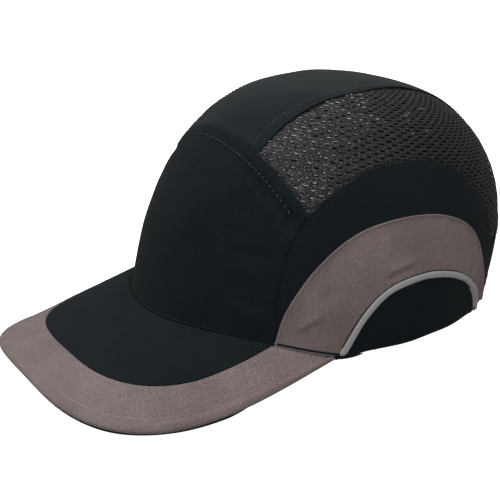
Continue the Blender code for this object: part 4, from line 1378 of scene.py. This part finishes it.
def build_brim(finish):
    """The brim: a black middle, a grey band that wraps round its edge, and a black underside."""
    outline = rounded_outline(BRIM_HALF_WIDTH, BRIM_REACH, BRIM_REAR_Y, BRIM_SQUARENESS)

    def rearwards(y):
        return smoothed((y + 0.100) / 0.035)

    inline = rounded_outline(EDGE_HALF_WIDTH, EDGE_REACH, EDGE_REAR_Y, EDGE_SQUARENESS)

    us, vs = ruler(0.250, 0.0018), ruler(0.062, 0.0016)
    spots = coons(us, vs, brim_join(EDGE_JOIN_ANGLE), inline)
    height = sewn_height(spots, (None, None, Edge(roll=0.0014, roll_width=0.0016), Edge(roll=0.0007)))
    height += 0.25 * sway(spots, 0.0004, 23)
    brim_sheet("brim_middle_cloth", spots, -height, finish["black_twill"], "black_twill", ["brim_middle"])

    radius = 0.0017
    us = ruler(0.360, 0.0016)
    vs = ruler(0.019, 0.0011, (0.0, 0.00015, 0.0004, 0.0008, 0.0013, 0.0019, 0.0027))
    spots = coons(
        us, vs, inline, outline,
        brim_join(-BRIM_JOIN_ANGLE, -EDGE_JOIN_ANGLE),
        brim_join(BRIM_JOIN_ANGLE, EDGE_JOIN_ANGLE),
    )
    seam = Edge(roll=0.0008, roll_width=0.0012, band=0.00025, band_width=0.0045, stitches=(0.0016,))
    joined = Edge(roll=0.0014, roll_width=0.0015)
    height = sewn_height(spots, (joined, joined, seam, None))
    distance = distance_to_last_row(spots)
    share = np.clip(1 - distance / radius, 0, 1)
    height -= radius * (1 - np.sqrt(1 - share**2))
    height -= 0.00060 * np.exp(-(((distance - 0.0046) / 0.0006) ** 2))
    height += 0.00060 * np.exp(-(((distance - 0.0029) / 0.0010) ** 2))
    height += 0.25 * sway(spots, 0.0004, 29)
    # The band turns further under towards the brim's rear ends than at its front.
    turn = np.linspace(0, 1, 7)[None, 1:] * np.radians(mix(4, 80, rearwards(spots[:, -1, 1])))[:, None]
    inwards = unit(spots[:, -4] - spots[:, -1])
    under = spots[:, -1][:, None] + inwards[:, None] * (radius * (1 - np.cos(turn)))[..., None]
    depth = np.hstack([-height, radius * (1 + np.sin(turn)) - height[:, -1:] - radius])
    spots = np.concatenate([spots, under], axis=1)
    brim_sheet("brim_edge_band_cloth", spots, depth, finish["grey_twill"], "grey_twill", ["brim_edge_band"])

    def sidewards(x):
        return smoothed((np.abs(x) / BRIM_HALF_WIDTH - 0.72) / 0.2)

    # The underside shows as a thin black line under the band, all round the brim's front.
    def outset(spots):
        return mix(mix(0.0010, 0.0004, sidewards(spots[:, 0])), -0.0026, rearwards(spots[:, 1]))

    lip = moved_outline(outline, outset)
    us, vs = ruler(0.330, 0.0022), ruler(0.090, 0.0022)
    spots = coons(us, vs, brim_join(BRIM_JOIN_ANGLE, setback=0.0012), lip)
    distance = distance_to_last_row(spots)
    share = np.clip(1 - distance / 0.0007, 0, 1)
    front = (1 - rearwards(spots[:, [-1], 1])) * (1 - sidewards(spots[:, [-1], 0]))
    depth = BRIM_THICKNESS + 0.0005 * front * smoothed(1 - distance / 0.012)
    depth -= 0.0018 * (1 - np.sqrt(1 - share**2))
    for place in UNDERSIDE_ROWS:
        depth -= 0.0002 * np.exp(-(((distance - place) / 0.0006) ** 2))
    brim_sheet(
        "brim_underside_cloth", spots, depth, finish["black_twill"], "black_twill", ["brim_underside"],
        inner=(0, -0.1, 1),
    )

    # A black roll in the gap where the brim meets the crown: a painted shadow, a dark line that stands in for
    # the groove's shade.
    angles = np.radians(np.linspace(-BRIM_JOIN_ANGLE, BRIM_JOIN_ANGLE, 150))
    seam = brim_seam(angles, Form(-0.0003))
    roll("brim_seam_shade_roll", seam - [0, 0, 0.0002], 0.0005, finish["black_twill"], "black_twill")

    def stitches(name, inset, depth, slot, thread, **settings):
        row = rounded_outline(BRIM_HALF_WIDTH - inset, BRIM_REACH - inset, BRIM_REAR_Y, BRIM_SQUARENESS)

        def line(share):
            share = mix(0.03, 0.97, share)
            return brim_places(row(share), np.full_like(share, depth))

        stitch_row(name, line, "cover", slot, finish[thread], **settings)

    stitches(
        "brim_stitches", 0.0046, 0.0002, "grey_twill", "grey_thread",
        pitch=0.0024, length=0.0017, width=0.0003,
    )
    for number, inset in enumerate(UNDERSIDE_ROWS):
        name = f"brim_underside_stitches_{number + 1}"
        stitches(name, inset, BRIM_THICKNESS - 0.0001, "black_twill", "black_thread")


# --- Inside ---


def wall(form, first, last, low, high):
    """Places on a form between two angles in degrees and two heights."""

    def at(us, vs):
        angle = np.radians(mix(first, last, us))[:, None] + 0 * vs[None]
        z = mix(low, high, vs)[None] + 0 * us[:, None]
        return form.point(angle, z)

    return at


def over_top(form, x_low, x_high, start, stop):
    """Places on a form between two lengthwise lines, from one angle over the top to another."""

    def at(us, vs):
        angle = np.radians(mix(start, stop, us))[:, None] + 0 * vs[None]
        x = mix(x_low, x_high, vs)[None] + 0 * us[:, None]
        rays = np.stack([np.zeros_like(angle), -np.cos(angle), np.sin(angle)], -1)
        starts = np.stack([x, np.full_like(x, CORE_Y), np.full_like(x, CORE_HEIGHT)], -1)
        return form.cast(starts, rays)

    return at


def build_pad(name, places, width, depth, finish):
    """A foam pad: two sheets that meet round its edge, puffed between them."""
    round_edge = 0.0032
    marks = (0.0, 0.00012, 0.0005, 0.0011, 0.0019, 0.0032)
    us, vs = ruler(width, 0.0022, marks), ruler(depth, 0.0022, marks)
    spots = places(us, vs)
    inwards = -normals_of(spots)
    u_edge = np.minimum(us, 1 - us)[:, None] * width
    v_edge = np.minimum(vs, 1 - vs)[None] * depth
    near = np.clip(1 - np.stack(np.broadcast_arrays(u_edge, v_edge)) / round_edge, 0, 1)
    swell = np.sqrt(np.clip(1 - np.minimum(np.hypot(near[0], near[1]), 1) ** 2, 0, 1))
    crown = 0.75 + 0.25 * smoothed(np.minimum(u_edge, v_edge) / 0.009)
    middle = PAD_THICKNESS * 0.42
    inner = grid_mesh(spots + inwards * (middle + (PAD_THICKNESS - middle) * swell * crown)[..., None])
    outer = grid_mesh(spots + inwards * (middle * (1 - swell))[..., None])
    pick(inner, outer)
    bpy.ops.object.join()
    close_tube(inner)
    dress(inner, f"{name}_foam", finish["pad_foam"], "liner", "pad_foam", [name])


def build_liner(finish):
    """The vented shell and the foam pads stuck inside it."""
    form = Form(0.0034, LINER_EASE, tuck=0.0)
    segments, rings = 120, 46
    angle = np.linspace(0, 2 * math.pi, segments + 1)[:, None] + np.zeros(rings)[None]
    share = np.sin(np.linspace(0, math.pi / 2, rings))[None] + np.zeros(segments + 1)[:, None]
    low = mix(0.0330, 0.0520, ((1 - np.cos(angle)) / 2) ** 3)
    spots = form.point(angle, mix(low, form.height * 0.99999, share))
    obj = grid_mesh(spots)
    pick(obj)
    bpy.ops.object.mode_set(mode="EDIT")
    bpy.ops.mesh.select_all(action="SELECT")
    bpy.ops.mesh.remove_doubles(threshold=2e-5)
    bpy.ops.object.mode_set(mode="OBJECT")
    face_out(obj)
    apply_modifier(obj, "SOLIDIFY", thickness=0.0020, offset=-1, use_even_offset=True)
    cutter = shell_slots(form)
    apply_modifier(obj, "BOOLEAN", object=cutter, operation="DIFFERENCE", solver="EXACT")
    bpy.data.objects.remove(cutter)
    dress(obj, "vented_shell_moulding", finish["shell_plastic"], "liner", "shell_plastic", ["vented_shell"])
    pick(obj)
    bpy.ops.object.shade_smooth_by_angle(angle=math.radians(35))

    padding = Form(0.0068, LINER_EASE, tuck=0.0)
    build_pad("brow_pad", wall(padding, -50, 50, 0.036, 0.060), 0.140, 0.026, finish)
    build_pad("nape_pad", wall(padding, 148, 212, 0.055, 0.070), 0.085, 0.018, finish)
    for label, side in (("left", 1), ("right", -1)):
        beside = wall(padding, side * 62, side * 118, 0.038, 0.062)
        build_pad(f"side_pad_{label}", beside, 0.090, 0.026, finish)
        across = (side * 0.020, side * 0.029)
        build_pad(f"crown_pad_{label}", over_top(padding, *across, 62, 138), 0.110, 0.010, finish)
    build_pad("crown_pad_middle", over_top(padding, -0.010, 0.010, 52, 148), 0.140, 0.020, finish)


def shell_slots(form):
    """The rounded slots that are cut from the shell."""
    centres = []
    for side in (-1, 1):
        for y, z in ((-0.030, 0.072), (0.003, 0.080), (0.036, 0.077), (0.066, 0.064)):
            centres.append((form.side_spot(y, z, side), (0, 1, 0)))
        for x, y in ((0.036, -0.022), (0.038, 0.010), (0.036, 0.042)):
            centres.append((form.from_top(np.array([side * x]), np.array([y]))[0], (0, 1, 0)))
        centres.append((form.from_rear(np.array([side * 0.024]), np.array([0.078]))[0], (0, 0, 1)))
    for y in (-0.020, 0.045):
        centres.append((form.from_top(np.array([0.0]), np.array([y]))[0], (0, 1, 0)))
    made = []
    for centre, along in centres:
        outward = Vector(centre - CORE).normalized()
        long_side = (Vector(along) - outward * outward.dot(Vector(along))).normalized()
        short_side = outward.cross(long_side)
        deselect()
        bpy.ops.mesh.primitive_cylinder_add(vertices=24, radius=0.0035, depth=0.014)
        slot = bpy.context.object
        half_run = 0.0085
        for vertex in slot.data.vertices:
            x, y, z = vertex.co
            x += math.copysign(half_run, x)
            place = Vector(centre) + long_side * x + short_side * y + outward * z
            vertex.co = Vector(to_world(np.array(place)))
        made.append(slot)
    pick(*made)
    bpy.ops.object.join()
    return made[0]


def build_sweatband(finish):
    """The towelling band inside the rim, with its blank label."""
    form = Form(0.0018)
    half = math.radians(131)
    us, vs = ruler(0.425, 0.0022), ruler(0.030, 0.0016)

    def bottom(share):
        return lower_edge(mix(-half, half, share), form) + [0, 0, 0.001]

    def top(share):
        return form.point(mix(-half, half, share), np.full(len(share), 0.0300))

    spots = form.lay(coons(us, vs, bottom, top))
    obj = grid_mesh(spots)
    face_out(obj)
    v_edge = (np.minimum(vs, 1 - vs) * 0.030)[None] + 0 * us[:, None]
    puff = 0.0012 * smoothed(v_edge / 0.005) + 0.0006
    puff += 0.00025 * np.sin(us * 300)[:, None] * smoothed(v_edge / 0.004)
    inner = grid_mesh(spots - normals_of(spots) * puff[..., None])
    pick(obj, inner)
    bpy.ops.object.join()
    bridge_sheets(obj)
    dress(obj, "sweatband_towelling", finish["towelling"], "cover", "towelling", ["sweatband"])

    label_form = Form(0.0018 + 0.0014 + 0.0006)
    first, last = math.radians(112), math.radians(126)
    us, vs = ruler(0.026, 0.0015), ruler(0.019, 0.0015)
    spots = coons(
        us, vs,
        lambda share: label_form.point(mix(first, last, share), np.full(len(share), 0.004)),
        lambda share: label_form.point(mix(first, last, share), np.full(len(share), 0.022)),
    )
    obj = grid_mesh(spots)
    face_out(obj)
    apply_modifier(obj, "SOLIDIFY", thickness=0.0003, offset=-1)
    dress(obj, "care_label_blank", finish["label_cloth"], "cover", "label_cloth", ["care_label"])


def bridge_sheets(obj):
    """Joins two sheets of the same grid into one closed body round their edges."""
    pick(obj)
    bpy.ops.object.mode_set(mode="EDIT")
    bpy.ops.mesh.select_mode(type="EDGE")
    bpy.ops.mesh.select_all(action="DESELECT")
    bpy.ops.mesh.select_non_manifold(extend=False)
    bpy.ops.mesh.bridge_edge_loops()
    bpy.ops.mesh.select_all(action="SELECT")
    bpy.ops.mesh.normals_make_consistent(inside=False)
    bpy.ops.object.mode_set(mode="OBJECT")


# --- The strap ---

STRAP_DEPTH = 0.0021
STRAP_LOW = 0.0030
STRAP_HIGH = 0.0250


def strap_places(first, last, low, high, depth):
    """Places on the strap's cone between two angles in degrees and two heights."""

    def at(us, vs):
        z = mix(low, high, vs)[None] + 0 * us[:, None]
        turn = np.radians(mix(first, last, us))[:, None] + 0 * vs[None]
        radius = COVER.point(np.full(z.shape, math.pi), z)[..., 1] - STRAP_CENTRE_Y - depth
        return np.stack([radius * np.sin(turn), STRAP_CENTRE_Y + radius * np.cos(turn), z], -1)

    return at


def build_strap_band(
    name, span, heights, depth, thickness, material, slot, body, node, rounding=0.0,
):
    """A band of the strap between two angles and two heights, with its free end rounded."""
    first, last = span
    width = abs(last - first) * math.pi / 180 * 0.074
    us, vs = ruler(width, 0.0014), ruler(heights[1] - heights[0], 0.0012)
    spots = strap_places(first, last, *heights, depth)(us, vs)
    if rounding:
        near = np.clip((us - 1) * width / rounding + 1, 0, 1)
        squeeze = 1 - (1 - np.sqrt(np.clip(1 - near**2, 0, 1))) * 0.55
        middle = spots[:, [len(vs) // 2]]
        spots = middle + (spots - middle) * squeeze[:, None, None]
    edges = [Edge(roll=0.0002, roll_width=0.0005)] * 4
    inner = np.array([0, STRAP_CENTRE_Y, 0.014])
    spots = spots + normals_of(spots, inner) * sewn_height(spots, edges)[..., None]
    obj = grid_mesh(spots)
    face_out(obj, inner)
    apply_modifier(obj, "SOLIDIFY", thickness=thickness, offset=-1)
    return dress(obj, name, material, body, slot, [node])


def build_strap(finish):
    """The strap's two halves, the tab that peels off and their hook and loop patches."""
    full = (STRAP_LOW, STRAP_HIGH)
    inset = (STRAP_LOW + 0.002, STRAP_HIGH - 0.002)
    black, slot = finish["black_twill"], "black_twill"
    band, tape = 0.0011, 0.0008
    build_strap_band("loop_strap_cloth", (-18, 44), full, 0.0061, band, black, slot, "cover", "loop_strap")
    build_strap_band(
        "loop_patch_pile", (-16, 24), inset, 0.0049, tape, finish["loop_tape"], "loop_tape", "cover",
        "loop_patch",
    )
    strap = build_strap_band(
        "strap_cloth", (-44, 18), full, STRAP_DEPTH, band, black, slot, None, "hook_strap", 0.009,
    )
    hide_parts("hook_strap", "strap_tab")
    at = np.zeros(1)
    start, end = (
        to_world(strap_places(angle, angle, 0.014, 0.014, STRAP_DEPTH)(at, at))[0, 0].tolist()
        for angle in (-5.5, 0.5)
    )
    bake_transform(strap)
    build_strap_band(
        "hook_patch_hooks", (1, 16.5), inset, 0.0037, tape, finish["hook_tape"], "hook_tape", "strap_tab",
        "hook_patch",
    )
    pieces = (("hook_strap", (-43, -6), "hook_strap"), ("strap_tab", (1, 15.5), "strap_tab"))
    for name, span, body in pieces:
        for edge, z in (("low", STRAP_LOW + 0.0013), ("high", STRAP_HIGH - 0.0013)):

            def row(share, span=span, z=z):
                spots = strap_places(*span, z, z, STRAP_DEPTH)(np.asarray(share), np.array([0.0]))
                return spots[:, 0]

            stitch_row(f"{name}_stitches_{edge}", row, body, "black_twill", finish["black_thread"])


# --- Stage ---


def build_stage():
    """A pale floor that curves up far away, soft light mostly from above, and large soft lights."""
    deselect()
    bpy.ops.mesh.primitive_uv_sphere_add(segments=64, ring_count=48, radius=6)
    floor = bpy.context.object
    floor.name = "floor"
    for vertex in floor.data.vertices:
        vertex.co.z = max(vertex.co.z + 4, -0.0006)
    pale = Finish("pale_floor", 0.9)
    pale.colour(pale.ramp(pale.noise("Object", 0.5), (0.3, (0.93, 0.93, 0.93)), (0.7, (0.95, 0.95, 0.95))))
    pale.shader.inputs["Emission Color"].default_value = (1, 1, 1, 1)
    pale.shader.inputs["Emission Strength"].default_value = 1.0
    floor.data.materials.append(pale.material)
    floor.visible_diffuse = False
    floor.visible_glossy = False
    floor.visible_shadow = False

    world = bpy.data.worlds.new("studio")
    world.use_nodes = True
    tree = world.node_tree
    direction = tree.nodes.new("ShaderNodeTexCoord")
    split = tree.nodes.new("ShaderNodeSeparateXYZ")
    ramp = tree.nodes.new("ShaderNodeValToRGB")
    tree.links.new(direction.outputs["Generated"], split.inputs[0])
    tree.links.new(split.outputs["Z"], ramp.inputs[0])
    ramp.color_ramp.elements[0].color = (0.16, 0.16, 0.17, 1)
    ramp.color_ramp.elements[1].color = (1, 1, 1, 1)
    ramp.color_ramp.elements[1].position = 0.5
    tree.links.new(ramp.outputs["Color"], tree.nodes["Background"].inputs["Color"])
    tree.nodes["Background"].inputs["Strength"].default_value = 0.50
    bpy.context.scene.world = world
    bpy.context.scene.view_settings.view_transform = "Standard"

    for name, place, size, power in (
        ("key", (-0.9, -1.1, 1.7), 1.0, 17.0),
        ("fill", (1.7, -0.6, 0.7), 1.2, 14.0),
        ("top", (0.0, 0.3, 1.9), 1.0, 12.5),
    ):
        light = bpy.data.lights.new(name, "AREA")
        light.shape = "SQUARE"
        light.size = size
        light.energy = power
        lamp = bpy.data.objects.new(name, light)
        bpy.context.scene.collection.objects.link(lamp)
        lamp.location = place
        aim = Vector((0, 0, 0.06)) - lamp.location
        lamp.rotation_euler = aim.to_track_quat("-Z", "Y").to_euler()


def build_camera():
    """The camera, placed in the cap's frame round a point in front of its middle."""
    azimuth, elevation, roll = (math.radians(angle) for angle in (56.406, 19.975, 0.175))
    target = Vector((0.0018, -0.0335, 0.0295))
    distance = 0.5210
    level = math.cos(elevation)
    back = Vector((math.sin(azimuth) * level, -math.cos(azimuth) * level, math.sin(elevation)))
    right = Vector((math.cos(azimuth), math.sin(azimuth), 0))
    up = back.cross(right)
    rolled_right = right * math.cos(roll) + up * math.sin(roll)
    rolled_up = up * math.cos(roll) - right * math.sin(roll)
    turn = Matrix((rolled_right, rolled_up, back)).transposed().to_4x4()
    camera = bpy.data.objects.new("camera", bpy.data.cameras.new("camera"))
    bpy.context.scene.collection.objects.link(camera)
    camera.matrix_world = cap_matrix() @ Matrix.Translation(target + back * distance) @ turn
    camera.data.sensor_width = 36
    camera.data.lens = 68.17
    camera.data.clip_start = 0.01
    bpy.context.scene.camera = camera


def build():
    build_camera()
    finish = make_finishes()
    build_front_panel(finish)
    build_crown_strip(finish)
    for label, side in (("left", 1), ("right", -1)):
        build_mesh_panel(label, side, finish)
        build_side_panel(label, side, finish)
        build_insert(label, side, finish)
        build_lower_panel(label, side, finish)
        build_piping(label, side, finish)
    build_yoke(finish)
    build_seam_tapes(finish)
    build_brim(finish)
    build_liner(finish)
    build_sweatband(finish)
    build_strap(finish)
    board = frame["nodes"]["brim_board"]
    board.data.materials.clear()
    board.data.materials.append(finish["brim_board"])
    build_stage()


build()
